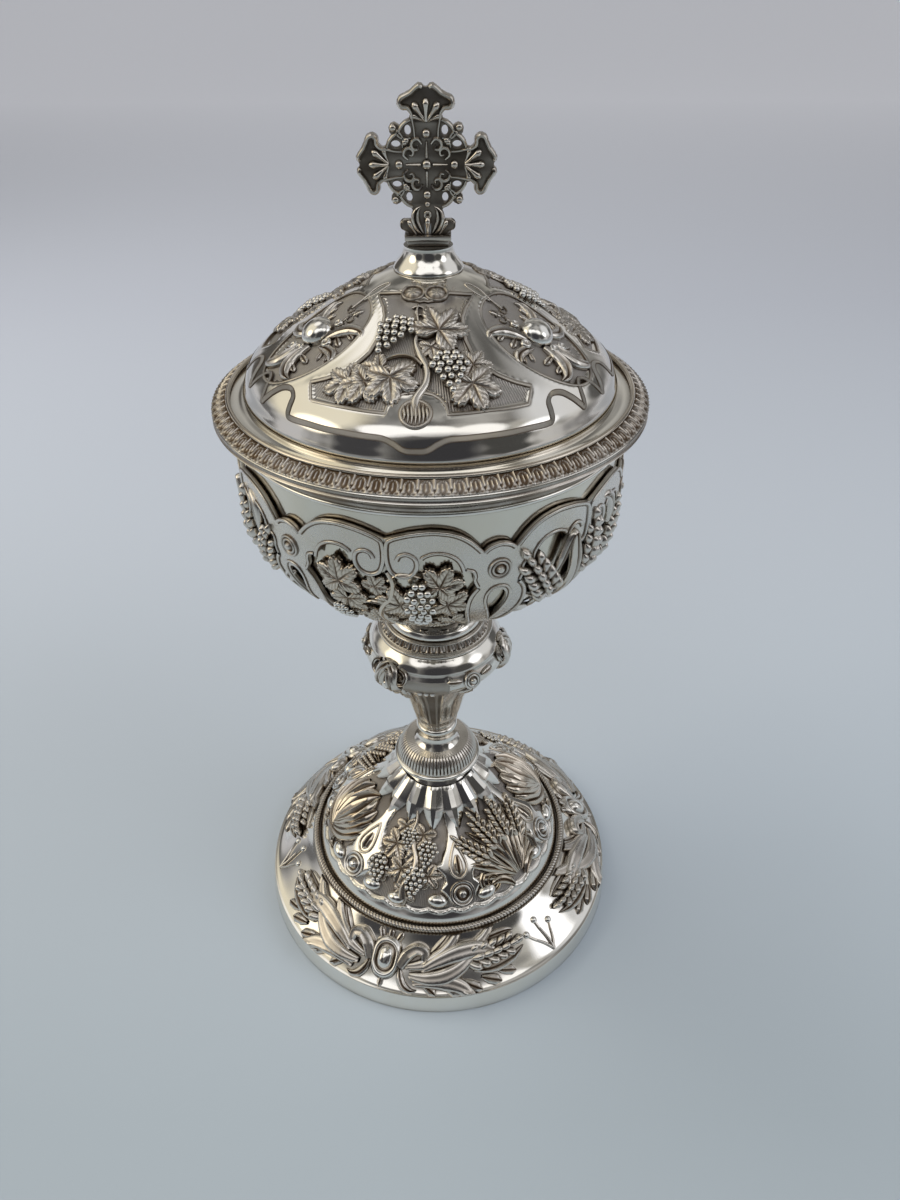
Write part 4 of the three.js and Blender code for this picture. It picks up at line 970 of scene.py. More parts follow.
VOLUTE = [
    (29.2, 209.6), (29.5, 206.6), (29.3, 203.2), (28.2, 200.3), (25.7, 199.1), (23.2, 200.0), (21.9, 202.4),
    (22.2, 205.0), (24.1, 206.4), (26.0, 205.9), (26.9, 204.3)]
arch_edge = [*inset([(4.6, 206.6), *ARCH_TOP, (28.4, 211.2)], 0.6), *VOLUTE]
edge_borders = [
    border("arch_border", arch_edge, steps=96),
    border("under_border", inset([(20.9, 205.4), *ARCH_UNDER], -0.55)[::-1], 0.6, 0.4, 40),
    border("waist_border", inset([(9.2, 200.7), *WAIST], 0.5), 0.5, 0.4),
    border("side_border", inset([WAIST[-1], *STRAP_SIDE], 0.6), steps=60)]
small_arch = border(
    "small_arch", [(-4.2, 205.9), (-3.0, 206.9), (-1.6, 207.5), (0, 207.8), (1.6, 207.5), (3.0, 206.9),
    (4.2, 205.9)])
drop_ring = [(x * 1.32, 187.6 + (z - 187.6) * 1.17 + 0.5) for x, z in [*DROP, *mirrored(DROP[:-1])]]
drop_border = border("drop_border", drop_ring, 0.55, 0.45, 70)

# %% The six straps
straps, borders = [], []
for azimuth in 18.8 + 60 * np.arange(6):
    straps.append((strap_plate, calyx_wide, azimuth, TOP))
    borders += [(pattern, calyx_wide, azimuth, TOP, 0, 1, PLATE + 0.03, flip)
                for flip in (-1, 1) for pattern in edge_borders]
    borders += [
        (pattern, calyx_wide, azimuth, TOP, 0, 1, PLATE + 0.03) for pattern in (small_arch, drop_border)]
    borders.append((boss, calyx, azimuth, calyx.down_at(200.0), 0, 1, PLATE - 0.1))
laid("calyx_straps", SATIN, "vessel", straps, "calyx", crease=35)
laid("calyx_borders", SATIN, "vessel", borders)

# %% [markdown]
# ## Calyx: vine and wheat
# Between the straps the casting shows vines and wheat by turns. The sprays are the same leaves,
# grapes and ears laid closely over each other, and they fill each bay down to the base.

# %% Vine bays
twig = swept("twig", [(0, 0), (1.5, -4), (0.5, -9), (-2, -13), (-3, -18), (-1, -24)],
             [0.7, 0.8, 0.8, 0.9, 1.0, 1.1], [1.2, 1.3, 1.3, 1.4], rows=10, steps=50)
side_twig = swept(
    "side_twig", [(0, 0), (3, 1.5), (6, 1.0), (9, -1)], [0.6, 0.5, 0.35, 0.2], [1.1, 1.0, 0.8, 0.4],
    steps=24)


def on_calyx(middle, rows):
    """Placements round the same place of each third of the calyx, with heights instead of downs."""
    return [(pattern, calyx, middle + 120 * k + across, calyx.down_at(z), *rest)
            for k in range(3) for pattern, across, z, *rest in rows]


VINE_SPRAY = [(vine_leaf, *row) for row in (
    (-13.5, 195.0, 8, 1.25, 0.9), (-12.0, 188.5, 165, 1.15, 0.5), (3.5, 189.0, 78, 1.2, 0.6),
    (14.0, 196.0, -24, 1.15, 0.9, -1), (16.0, 189.5, -110, 1.15, 0.6), (-4.0, 181.0, 130, 0.95, 0.6),
    (8.0, 178.0, -150, 0.95, 0.5, -1), (-15.5, 179.5, 150, 0.85, 0.3), (18.0, 180.5, -160, 0.8, 0.3),
    (-3.5, 194.5, -40, 0.75, 0.3), (-9.0, 172.5, 175, 0.9, 0.3), (2.0, 171.0, 180, 0.9, 0.2),
    (12.0, 172.0, -172, 0.9, 0.3))]
VINE_SPRAY += [(twig, 0.3, 200.5, 0, 1.0, 0.8), (side_twig, 0.5, 197.5, 15, 1.0, 0.8),
               (side_twig, -1.5, 188.5, 20, 1.1, 0.6, -1)]
laid("calyx_vine_sprays", OXIDISED, "vessel", on_calyx(-11.2, VINE_SPRAY))
clusters = on_calyx(-2.4, [(long_grapes, 0, 190.0, 0, 1.12, 2.0)])
clusters += on_calyx(-26.5, [(small_grapes, 0, 181.0, 20, 0.8, 1.0)])
laid("calyx_grapes", BRIGHT, "vessel", clusters)

# %% Wheat bays
folded = leaf(
    "folded_leaf", [(-6, -7), (-3.6, -3), (-1.2, 1.2), (0.0, 2.6), (0.9, 1.4), (1.7, -6), (2.0, -15),
    (1.4, -25)], [0.5, 1.2, 1.2, 0.9, 1.2, 2.0, 1.8, 0.8], [0.8, 1.6, 1.8, 2.0, 1.9, 1.5, 1.2, 0.8], 70)
WHEAT_SPRAY = [
    (wheat_ear, -11.5, 184.5, 32, 1.5, 1.0), (wheat_ear, 2.5, 186.0, -2, 1.35, 0.9),
    (wheat_ear, 12.5, 184.5, -26, 1.3, 0.8), (folded, -7.0, 201.0, 6, 1.15, 1.1),
    (curl_leaf, 13.5, 197.0, 20, 1.2, 0.7)]
WHEAT_SPRAY += [(reed, across, z, turn, size, 0.4, flip) for across, z, turn, size, flip in (
    (-5, 176, 42, 1.1, 1), (9, 176, -16, 1.15, -1), (15, 176, -34, 1.15, -1), (-12, 174, 50, 0.95, 1),
    (2, 176, 5, 0.9, 1), (19, 172, -48, 0.9, -1), (-2.5, 170, 24, 0.9, 1), (8, 168, -28, 0.9, -1),
    (-15, 168, 60, 0.8, 1), (17, 167, -62, 0.8, -1), (-9, 171, 20, 0.8, -1), (12, 172, 6, 0.8, 1))]
laid("calyx_wheat", EMBOSSED, "vessel", on_calyx(48.8, WHEAT_SPRAY))

# %% Base of the calyx
base_line = smooth(
    [(33.5, 164.6), (28.0, 161.2), (22.6, 156.0), (18.0, 150.6), (14.6, 146.6), (13.6, 145.1)], 30)
base_surface = Surface(base_line)
base_section = np.vstack([sheet_section(base_surface, 1.0)[:-1], [(9.0, 145.1)]])
finish(spun("calyx_base", base_section, 180), EMBOSSED, "vessel")
cup_leaf = leaf("cup_leaf", [(0, -2), (0, 4), (0, 10), (0, 15), (0, 18.5)], [1.6, 3.2, 4.4, 3.0, 0.2],
                [0.7, 1.1, 1.4, 1.2, 0.4], 30, rows=20)
low = base_surface.down_at(148.5)
cup_leaves = [(cup_leaf, base_surface, 15 + 30 * k, low, 0, 1.0, 0.1) for k in range(12)]
laid("calyx_base_leaves", EMBOSSED, "vessel", cup_leaves)

# %% [markdown]
# ## Lid dome
# The dome is one sheet, chased from the front. Three vine panels and three oval medallions are sunk
# a little, with matted ground, and polished straps are left between them. A fine spun sheet is pushed
# down inside the panel outlines, and the faces there get the matted material.

# %% Lid surface and panel outlines
lid = Surface(
    smooth([(9.5, 262.84), (16.9, 259.8), (34, 249.8), (50.5, 239.8), (55.2, 232.8), (55.6, 229.44)], 88))
lid_wide = InDegrees(lid)
panel_edge = [
    (3.6, 9.2), (6.5, 8.9), (11.5, 8.9), (17.0, 8.4), (20.8, 7.2), (24.9, 6.6), (36, 7.5), (47.0, 8.7),
    (39.5, 10.3), (32.0, 12.4), (26.6, 15.2), (24.2, 18.2), (22.9, 22.6), (23.6, 27.4), (26.4, 31.4),
    (29.9, 34.9), (35.0, 38.2), (39.9, 40.7), (37.4, 43.0), (34.9, 45.5), (29, 45.2), (22.4, 44.9),
    (15.5, 44.9), (9.4, 44.9), (9.0, 42.4), (7.4, 40.2), (5.0, 38.8), (2.4, 38.3)]
vine_outline = np.array([(0, 8.9), *panel_edge, *mirrored(panel_edge)], float)
VINES = [-3.0 + 120 * k for k in range(3)]
MEDALLIONS = [(59.0, 1), (-62.0, -1), (178.5, 1)]
OVAL_WIDE, OVAL_TALL, OVAL_DOWN = 13.6, 18.0, 29.0
SINK = 0.7
MM_PER_DEGREE = np.array([0.62, 1.0])
FAR = -9.0


def inside_depth(x, d, outline):
    """How deep points lie inside a closed outline: about millimetres inside, or negative outside."""
    p = np.stack([x, d], -1) * MM_PER_DEGREE
    corners = outline * MM_PER_DEGREE
    inside, nearest = np.zeros(len(p), bool), np.full(len(p), 99.0)
    for a, b in zip(corners, np.roll(corners, -1, 0)):
        crosses = (a[1] > p[:, 1]) != (b[1] > p[:, 1])
        inside ^= crosses & (p[:, 0] < a[0] + (p[:, 1] - a[1]) * (b[0] - a[0]) / (b[1] - a[1] + 1e-12))
        side = b - a
        share = np.clip(((p - a) @ side) / (side @ side), 0, 1)
        nearest = np.minimum(nearest, np.linalg.norm(p - a - share[:, None] * side, axis=1))
    return np.where(inside, nearest, -nearest)


def outline_depth(azimuth, down, middles, reach, outline):
    """How deep points lie inside an outline that is repeated round the axis."""
    deepest = np.full(len(azimuth), FAR)
    for middle in middles:
        x = wrapped(azimuth - middle)
        close = np.abs(x) < reach
        deepest[close] = np.maximum(deepest[close], inside_depth(x[close], down[close], outline))
    return deepest


def panel_depth(azimuth, down):
    """How deep inside a panel or medallion of the lid each point lies, in millimetres."""
    deepest = outline_depth(azimuth, down, VINES, 55, vine_outline)
    for middle, _ in MEDALLIONS:
        x = wrapped(azimuth - middle)
        away = np.hypot(np.radians(x) * lid.radius(down) / OVAL_WIDE, (down - OVAL_DOWN) / OVAL_TALL)
        deepest = np.where(np.abs(x) < 60, np.maximum(deepest, (1 - away) * OVAL_WIDE), deepest)
    return deepest


def chased_lid(azimuth, down):
    depth = panel_depth(azimuth, down)
    return -SINK * np.clip(depth / 0.9, 0, 1) + 0.12 * np.clip(1 + depth / 1.6, 0, 1) * (depth < 0)


def matted(obj, surface, material, test, unit=0.6):
    """Gives the outer faces that pass a test a second material, and unwraps them in millimetres."""
    obj.data.materials.append(material)
    mesh = obj.data
    centres, facing = (np.empty(len(mesh.polygons) * 3) for _ in range(2))
    mesh.polygons.foreach_get("center", centres)
    mesh.polygons.foreach_get("normal", facing)
    centres, facing = centres.reshape(-1, 3) / MM, facing.reshape(-1, 3)
    outside = (facing[:, :2] * centres[:, :2]).sum(1) + facing[:, 2] * 20 > 0
    chosen = test(polar(centres)[0], surface.down_at(centres[:, 2])) & outside
    mesh.polygons.foreach_set("material_index", chosen.astype(np.int32))
    corners = np.empty(len(mesh.loops), int)
    mesh.loops.foreach_get("vertex_index", corners)
    p = points_of(obj)[corners] / MM
    uv = np.stack([polar(p)[0] * unit, surface.down_at(p[:, 2])], -1)
    layer = mesh.uv_layers[0] if mesh.uv_layers else mesh.uv_layers.new(name="ground")
    layer.data.foreach_set("uv", uv.astype(np.float32).ravel())
    print(obj.name, "matted faces:", int(chosen.sum()))


# %% The chased sheet
DOME_WALL = 0.9
dome = spun("lid_dome_sheet", sheet_section(lid, DOME_WALL, 4), 640)
chase(dome, lid, DOME_WALL, chased_lid)
finish(dome, POLISHED, "lid", "lid_dome", crease=50)
matted(dome, lid, GROUND, lambda azimuth, down: panel_depth(azimuth, down) > 0.35)

# %% [markdown]
# ## Borders of the lid
# A raised strip with an engraved line on each side frames every panel, and a hatched ribbon runs
# round the shoulder.


# %% Panel borders, lobes and the shoulder ribbon
def lid_strip(name, line, closed, wide, tall, section, rows, sink):
    """A strip of even width along points (degrees, down) of the lid."""
    true = np.column_stack([np.radians(line[:, 0]) * lid.radius(line[:, 1]), -line[:, 1]])
    along = np.roll(true, -1, 0) - np.roll(true, 1, 0) if closed else np.gradient(true, axis=0)
    edges = []
    for sign in (1, -1):
        moved = true + left_of(along) * wide * sign
        edge = np.column_stack([np.degrees(moved[:, 0] / lid.radius(-moved[:, 1])), moved[:, 1]])
        edges.append(np.vstack([edge, edge[:1]]) if closed else edge)
    return band(name, *edges, tall, section, rows, sink)


def resampled(points, step=0.45):
    """The same closed outline with evenly spaced points."""
    line = np.vstack([points, points[:1]])
    run = np.concatenate([[0], np.cumsum(np.linalg.norm(np.diff(line * MM_PER_DEGREE, axis=0), axis=1))])
    stops = np.linspace(0, run[-1], int(run[-1] / step))[:-1]
    return np.column_stack([np.interp(stops, run, line[:, 0]), np.interp(stops, run, line[:, 1])])


vine_frame = lid_strip("vine_frame", resampled(vine_outline), True, 0.5, 0.2, frame_section, 20, 0.5)
t = np.linspace(0, 2 * np.pi, 160)[:-1]
oval_line = np.column_stack([np.sin(t) * OVAL_WIDE, OVAL_DOWN - np.cos(t) * OVAL_TALL])[::-1]
oval_line[:, 0] = np.degrees(oval_line[:, 0] / lid.radius(oval_line[:, 1]))
oval_frame = lid_strip("oval_frame", oval_line, True, 0.45, 0.2, frame_section, 20, 0.5)
lobe = button("lobe", (0, 0.9, 0), (1.3, 0.8, 0), (2.2, 0.25, 0.5), (2.5, 0.15, 0.9), (2.8, 0.6, 0.1),
              (3.2, 0.6, 0.1), (3.5, 0.1, 0.8), depth=0.85)
frames = [(vine_frame, lid_wide, middle, 0.0) for middle in VINES]
frames += [(oval_frame, lid_wide, middle, 0.0) for middle, _ in MEDALLIONS]
frames += [(lobe, lid, middle + side * 11.7, 6.4, 0, 1, -0.1) for middle in VINES for side in (-1, 1)]
laid("lid_frames", ENGRAVED, "lid", frames)

RIBBON = [(0, 234.0), (3, 234.2), (6, 235.6), (9, 236.5), (14, 236.6), (20, 236.6), (26, 236.5), (32, 236.5),
          (38.5, 236.3), (40.3, 236.8), (41, 238.5), (42, 240.3), (45, 241.2), (48.5, 240.8), (51, 239.3),
          (53, 237.3), (54.3, 236.5), (56, 239.0), (58, 240.8), (60, 241.3)]
half = [(x, lid.down_at(z)) for x, z in RIBBON]
ribbon = lid_strip(
    "ribbon", smooth([*mirrored(half[1:]), *half], 260), False, 0.8, 0.14, ribbon_section, 12, 0.4)
uv = np.empty(len(ribbon.data.loops) * 2, np.float32)
ribbon.data.uv_layers[0].data.foreach_get("uv", uv)
HATCHES = [118.0, 4.0]
uv = (uv.reshape(-1, 2) * HATCHES).astype(np.float32)
ribbon.data.uv_layers[0].data.foreach_set("uv", uv.ravel())
laid("lid_ribbons", ENGRAVED, "lid", [(ribbon, lid_wide, middle, 0.0) for middle in VINES])

# %% [markdown]
# ## Vine panels of the lid
# A vine stem rises from a sawn stump at the foot of each panel, with two bunches of grapes and
# leaves on both sides.

# %% Vine stem, leaves and grapes
vine_stem = swept(
    "vine_stem", [(-0.2, -15.5), (-0.4, -10.5), (1.9, -5.6), (2.0, -1), (-0.1, 3.6), (-1.5, 7.7),
    (-0.9, 12), (-1.7, 17.7), (-1.4, 20.6)], [1.9, 1.35, 1.3, 1.2, 1.1, 0.8, 0.6, 0.4, 0.3],
    [1.4, 1.6, 1.6, 1.5, 1.4, 1.2, 1.0, 0.8, 0.5], rows=16, steps=90)
petiole = swept("petiole", [(0, 0), (-2.5, 1.6), (-5.5, 1.2), (-8.5, -1.0)], [0.35, 0.3, 0.28, 0.2],
                [0.9, 0.9, 0.9, 0.6], steps=30)
bark = swept(
    "bark", [(0, -1), (0.15, -0.3), (-0.15, 0.4), (0, 1)], [0.1, 0.42, 0.42, 0.1], [0.3, 0.8, 0.8, 0.3],
    steps=16)
stump_parts = []
for x in 0.95 * np.arange(-3, 4):
    stump_parts.append(copied(bark))
    set_points(stump_parts[-1], points_of(bark) * [1, 3.3 * math.sqrt(1 - (x / 3.6) ** 2), 1] + [x, 0, 0.15])
stump = join(PATTERN + "stump", stump_parts)
stump_ring = button(
    "stump_ring", (0, 0.25, 0.4), (3.1, 0.25, 0.5), (3.3, 0.2, 0.9), (3.5, 0.5, 0.2), (3.9, 0.5, 0.2),
    (4.2, 0.3, 0.6), (4.4, 0.1, 0.8))
PANEL_LEAVES = [
    (vine_stem, 0, 30.0, 0, 1, -0.7), (vine_leaf, 9.5, 19.2, -38, 1.42, -0.35), (vine_leaf, 5.0, 24.0, 190,
    0.7, -0.5), (vine_leaf, -25.5, 37.4, 128, 1.22, -0.6), (vine_leaf, -19.5, 36.6, 165, 1.2, -0.35),
    (vine_leaf, -10.4, 34.6, 196, 1.38, -0.1), (vine_leaf, -15.5, 32.0, 140, 1.0, -0.45),
    (vine_leaf, 19.0, 36.8, 188, 1.36, -0.3), (vine_leaf, 22.0, 30.6, -100, 0.95, -0.6),
    (petiole, 1.0, 30.0, -12, 1.25, -0.2), (petiole, -3.5, 22.0, -20, 0.5, -0.3, -1),
    (petiole, -5.0, 18.5, 35, 0.75, -0.4), (petiole, 3.0, 29.5, -10, 0.75, -0.4, -1),
    (tendril, -3.6, 12.4, 60, 0.9, -0.5)]
PANEL_GRAPES = [(grapes_leaning, -13.4, 20.6, -4, 0.92, -0.3), (grapes, 12.2, 31.8, 0, 0.92, -0.1)]
PANEL_STUMP = [(stump_ring, -0.2, 44.6), (stump, -0.2, 44.6, 0, 1, 0.15)]
for name, material, rows in (("lid_vine_leaves", EMBOSSED, PANEL_LEAVES),
                             ("lid_grapes", BRIGHT, PANEL_GRAPES),
                             ("lid_vine_stumps", SATIN, PANEL_STUMP)):
    laid(name, material, "lid", [piece for middle in VINES for piece in on(lid, middle, rows)])

# %% [markdown]
# ## Medallions of the lid
# Each oval holds a smooth fruit among acanthus leaves and berries with a hollow eye. A thin tendril
# runs up to an engraved loop on the strap.

# %% Fruit medallions
acanthus = motif("acanthus", [
    (curl_leaf, 0, 0, 0, 1.0, 0.2), (petal, 0.4, 2.5, -52, 0.62, 0.1), (petal, 0.6, 4.8, -40, 0.5, 0.2),
    (petal, 0.2, 3.0, 58, 0.55, 0.1), (petal, 1.0, 6.0, 48, 0.45, 0.2)])
loop = swept(
    "loop", [(0, -6), (0.3, -2), (1.2, 1.5), (1.0, 4.6), (0, 6.2), (-1.0, 4.6), (-1.2, 1.5), (-0.3, -2)],
    [0.25, 0.3, 0.3, 0.3, 0.3, 0.3, 0.3, 0.25], 0.22, steps=60)


def in_oval(rows):
    """Placements in all medallions, from (pattern, across, up, turn, size, lift, flip) rows."""
    return [
        (pattern, lid, middle + math.degrees(x * way / lid.radius(OVAL_DOWN - up)), OVAL_DOWN - up,
        turn * way, size, lift, flip * way) for middle, way in MEDALLIONS for pattern, x, up, turn, size,
        lift, flip in rows]


laid(
    "lid_medallions", EMBOSSED, "lid",
    in_oval([(acanthus, -4.0, 1.5, 62, 1.1, -SINK, 1), (acanthus, 3.0, 3.0, -38, 0.95, -SINK, 1),
    (acanthus, -1.5, -3.0, 160, 1.15, -0.5, -1), (acanthus, 2.5, -4.0, -158, 1.15, -SINK, 1),
    (acanthus, -5.0, -1.5, 108, 0.85, -SINK, 1), (acanthus, 4.6, 0.0, -100, 1.0, -SINK, 1),
    (reed, -2.2, 8.0, 12, 0.35, -SINK, 1), (tendril, -4.2, 10.0, 40, 0.9, -0.5, 1),
    (tendril, -0.6, 12.6, -60, 0.75, -0.5, 1), (loop, -2.0, 18.5, 14, 1.0, 0.05, 1),
    (petal, -3.4, 11.2, 35, 0.5, -SINK, 1)]))
laid("lid_fruits", BRIGHT, "lid", in_oval([
    (fruit, 1.2, 1.4, 20, 4.9, -0.2, 1), (ringed_berry, -6.3, 0.3, 0, 0.95, 0.0, 1),
    (ringed_berry, 0.4, -5.2, 0, 0.95, 0.1, 1), (ringed_berry, 4.4, -5.9, 0, 0.85, 0.0, 1),
    (ringed_berry, -2.8, 7.0, 0, 0.8, 0.0, 1)]))

# %% [markdown]
# ## Lid edge
# The dome stands on a smooth hollow ring. Outside it run a bead, a slope with a band of small
# interlaced arches, and a concave edge. The arches were rolled into a strip, so a spun band is
# displaced by a pattern that repeats 96 times.

# %% Lid flange, bead wire, seat ring and bezel
flange_section = np.vstack([
    smooth([(53.4, 229.6), (55.8, 229.5), (57.4, 229.15), (59.3, 229.1), (60.8, 229.3)], 14),
    [(61.4, 229.2), (65.0, 227.1)],
    smooth([(65.25, 226.84), (64.9, 226.4), (64.75, 225.95), (64.9, 225.4), (65.3, 224.96)], 8),
    [(65.1, 224.94), (63.9, 224.94), (63.9, 226.0), (60.5, 228.1), (53.4, 228.6)]])
flange = spun("lid_flange_ring", flange_section, WIDE)
p = points_of(flange) / MM
# Painted shade: the concave outer edge, which faces down, is browned so that it looks dark.
write_tarnish_and_shade(flange, 0.85 * (polar(p)[1] > 64.5) * (p[:, 2] < 226.7) * (p[:, 2] > 225.1))
finish(flange, POLISHED, "lid", "lid_flange", crease=35)
lathe("lid_bead", "lid_bead_wire", ring_section(60.2, 229.9, 0.72, 12), WIDE, body="lid", material=OXIDISED)
seat_section = [(56.8, 224.94), (63.8, 224.94), (63.8, 225.94), (56.8, 225.94)]
lathe("lid_seat", "lid_seat_ring", seat_section, WIDE, 0.12, "lid")
bezel_section = [(56.7, 217.94), (56.7, 225.94), (55.8, 225.94), (55.8, 217.94)]
lathe("lid_bezel_band", "lid_bezel", bezel_section, WIDE, 0.2, "lid")

# %% Gallery of interlaced arches
ARCHES, ARCH_PITCH, GALLERY_WALL = 96, 4.15, 0.75
gallery_surface = Surface(smooth([(61.2, 230.05), (63.2, 228.98), (65.35, 227.45)], 12))
gallery = spun("lid_gallery", sheet_section(gallery_surface, GALLERY_WALL), ARCHES * 14)


def bump_at(away, width):
    """A soft ridge: 1 where away is 0, and almost 0 beyond twice its width."""
    return np.exp(-((away / width) ** 2))


def arches(azimuth, down):
    """Ridges of one arch and its tongue, repeated round the band."""
    x = np.abs((azimuth / 360 * ARCHES + 0.5) % 1 - 0.5)
    v = down / gallery_surface.down[-1]
    arch = np.interp(v, [0.08, 0.14, 0.25, 0.42, 0.6, 0.8, 1.0], [0.0, 0.16, 0.27, 0.31, 0.29, 0.42, 0.52])
    legs = bump_at((x - arch) * ARCH_PITCH, 0.26) * (v > 0.07)
    tongue = bump_at(x * ARCH_PITCH, 0.24) * (v > 0.22) * (v < 0.72)
    dart = bump_at((0.5 - x) * ARCH_PITCH, 0.30) * (v < 0.62)
    cross = bump_at((x - (1.0 - v) * 1.1) * ARCH_PITCH, 0.22) * (v > 0.74)
    return np.clip(legs + tongue * 0.8 + dart * 0.9 + cross * 0.7 + bump_at(v - 0.965, 0.035), 0, 1)


chase(gallery, gallery_surface, GALLERY_WALL, lambda azimuth, down: -0.5 + 0.5 * arches(azimuth, down),
      lambda azimuth, down: 1.1 - 1.2 * arches(azimuth, down))
finish(gallery, EMBOSSED, "lid", "lid_gallery_band", crease=60)

# %% Finial collar
finial_line = smooth([(6.8, 269.14), (6.9, 268), (7.7, 266.2), (9.2, 264.4), (9.9, 263.2), (9.6, 262.6)], 16)
lathe("finial_collar_bright", "finial_collar", bored(finial_line, 1.7), STEM, body="lid")

# %% [markdown]
# ## Cross
# The cross is a casting with rolled, curling arms. It is drawn flat as one outline with holes and
# filled, and ridges, curls and berries are swept and set on both faces.

# %% Cross plate
CROSS_Z = 289.14


class Standing:
    """Lays flat patterns on an upright plane that faces the front or the back."""

    def __init__(self, front):
        self.front = front

    def lay(self, flat, azimuth, down, turn, size, lift, flip):
        across, up = turned(flat, turn, size, flip)
        out = flat[:, 2] * size + lift
        return np.column_stack([(across + azimuth) * self.front, -out * self.front, CROSS_Z + up - down])


ARM = [(4.3, 10.6), (4.1, 11.4), (4.8, 12.3), (5.9, 12.4), (6.9, 12.8), (7.4, 13.7), (7.2, 14.8), (6.2, 15.7),
       (4.8, 16.4), (3.6, 17.0), (2.8, 17.8), (1.9, 18.35), (1.0, 18.2), (0.4, 17.6), (0.0, 17.5)]
CORNER = [(4.3, 10.6), (5.3, 10.2), (6.1, 9.5), (6.7, 8.8), (7.3, 9.3), (8.2, 9.7), (9.1, 9.4), (9.6, 8.5),
          (9.4, 7.4), (8.8, 6.7), (9.5, 6.1), (10.2, 5.3), (10.6, 4.3)]
FOOT = [
    (4.3, -10.6), (3.5, -11.8), (3.5, -12.8), (4.3, -13.6), (5.4, -13.4), (6.5, -13.5), (7.2, -14.4),
    (7.2, -15.5), (6.4, -16.3), (5.4, -16.6), (5.2, -17.1), (6.2, -17.3), (6.2, -18.4), (5.6, -18.5),
    (5.6, -20.0)]
side_arm = [(y, x) for x, y in ARM]
right = [
    *ARM[::-1], *CORNER[1:-1], *side_arm[:-1], *((x, -y) for x, y in side_arm[::-1] + CORNER[-2:0:-1]),
    *FOOT]
holes = [
    [(sx * cx + wx * math.cos(t), sy * cy + wy * math.sin(t)) for t in np.linspace(0, 2 * np.pi, 15)[:-1]]
    for sx in (-1, 1) for sy in (-1, 1) for cx, cy, wx, wy in ((4.75, 7.9, 0.85, 1.2),
    (7.9, 4.75, 1.2, 0.85))]
cross_outline = [*right, *(point for point in mirrored(right) if point[0] < 0)]
cross_plate = plate("cross_plate", [cross_outline, *holes], 2.4, 0.35)
p = points_of(cross_plate)
# Painted dark reflection: the flat front and back faces of the cross are browned so that they look dark.
write_tarnish_and_shade(cross_plate, 0.62 * (np.abs(p[:, 2] - p[:, 2].mean()) > 0.9))
print("cross plate:", p.min(0).round(1), p.max(0).round(1), len(cross_plate.data.polygons))


def box(name, half, low, high, thick):
    return plate(name, [[(-half, low), (half, low), (half, high), (-half, high)]], thick, 0.3)


# %% Ridges, curls and berries of the cross
edge_ridge = swept(
    "arm_edge", [(3.0, 6.0), (3.1, 8.0), (3.5, 10.2), (3.6, 11.6), (4.6, 12.9), (6.0, 13.1), (6.6, 13.9),
    (6.2, 14.9), (5.0, 15.5), (3.8, 16.1), (2.7, 17.0), (1.7, 17.6), (0.9, 17.3)],
    [0.35, 0.45, 0.5, 0.55, 0.7, 0.75, 0.75, 0.75, 0.7, 0.65, 0.65, 0.7, 0.5],
    [0.6, 0.8, 0.9, 1.0, 1.2, 1.3, 1.3, 1.2, 1.1, 1.1, 1.1, 1.2, 0.8], rows=10, steps=70)
mid_ridge = swept("mid_ridge", [(0, 1.6), (0, 3.5), (0, 5.4)], [0.45, 0.35, 0.3], [0.6, 0.5, 0.5], steps=10)
corner_curl = swept(
    "corner_curl", [(1.2, 4.8), (2.2, 5.9), (3.4, 5.6), (3.9, 4.5), (3.2, 3.5), (2.2, 3.7), (2.3, 4.5)],
    [0.35, 0.6, 0.7, 0.7, 0.6, 0.5, 0.3], [0.8, 1.1, 1.2, 1.1, 1.0, 0.9, 0.6], rows=10, steps=40)
bracket = swept(
    "bracket", [(3.9, 10.2), (5.1, 9.7), (6.2, 8.8), (6.9, 7.9), (7.4, 7.0), (6.6, 6.2), (5.4, 6.0),
    (4.0, 6.2)], [0.4, 0.55, 0.6, 0.6, 0.55, 0.5, 0.45, 0.3], 0.9, rows=10, steps=44)
club = swept(
    "club", [(0, 0), (0, 2), (0, 4), (0, 5.1)], [0.4, 0.55, 1.05, 0.6], [0.7, 0.9, 1.4, 0.7], rows=12,
    steps=16)
palmette = motif(
    "palmette", [(club, 0, 9.9, 0, 1.0, 0.2), (club, 0.2, 10.0, -37, 1.0, 0.1), (club, -0.2, 10.0, 37, 1.0,
    0.1), (club, 0.3, 9.9, -68, 0.72, 0.0), (club, -0.3, 9.9, 68, 0.72, 0.0)])
middle_plane = Standing(1)
cross_parts = [(cross_plate, middle_plane, 0, 0, 0, 1, -1.2)]
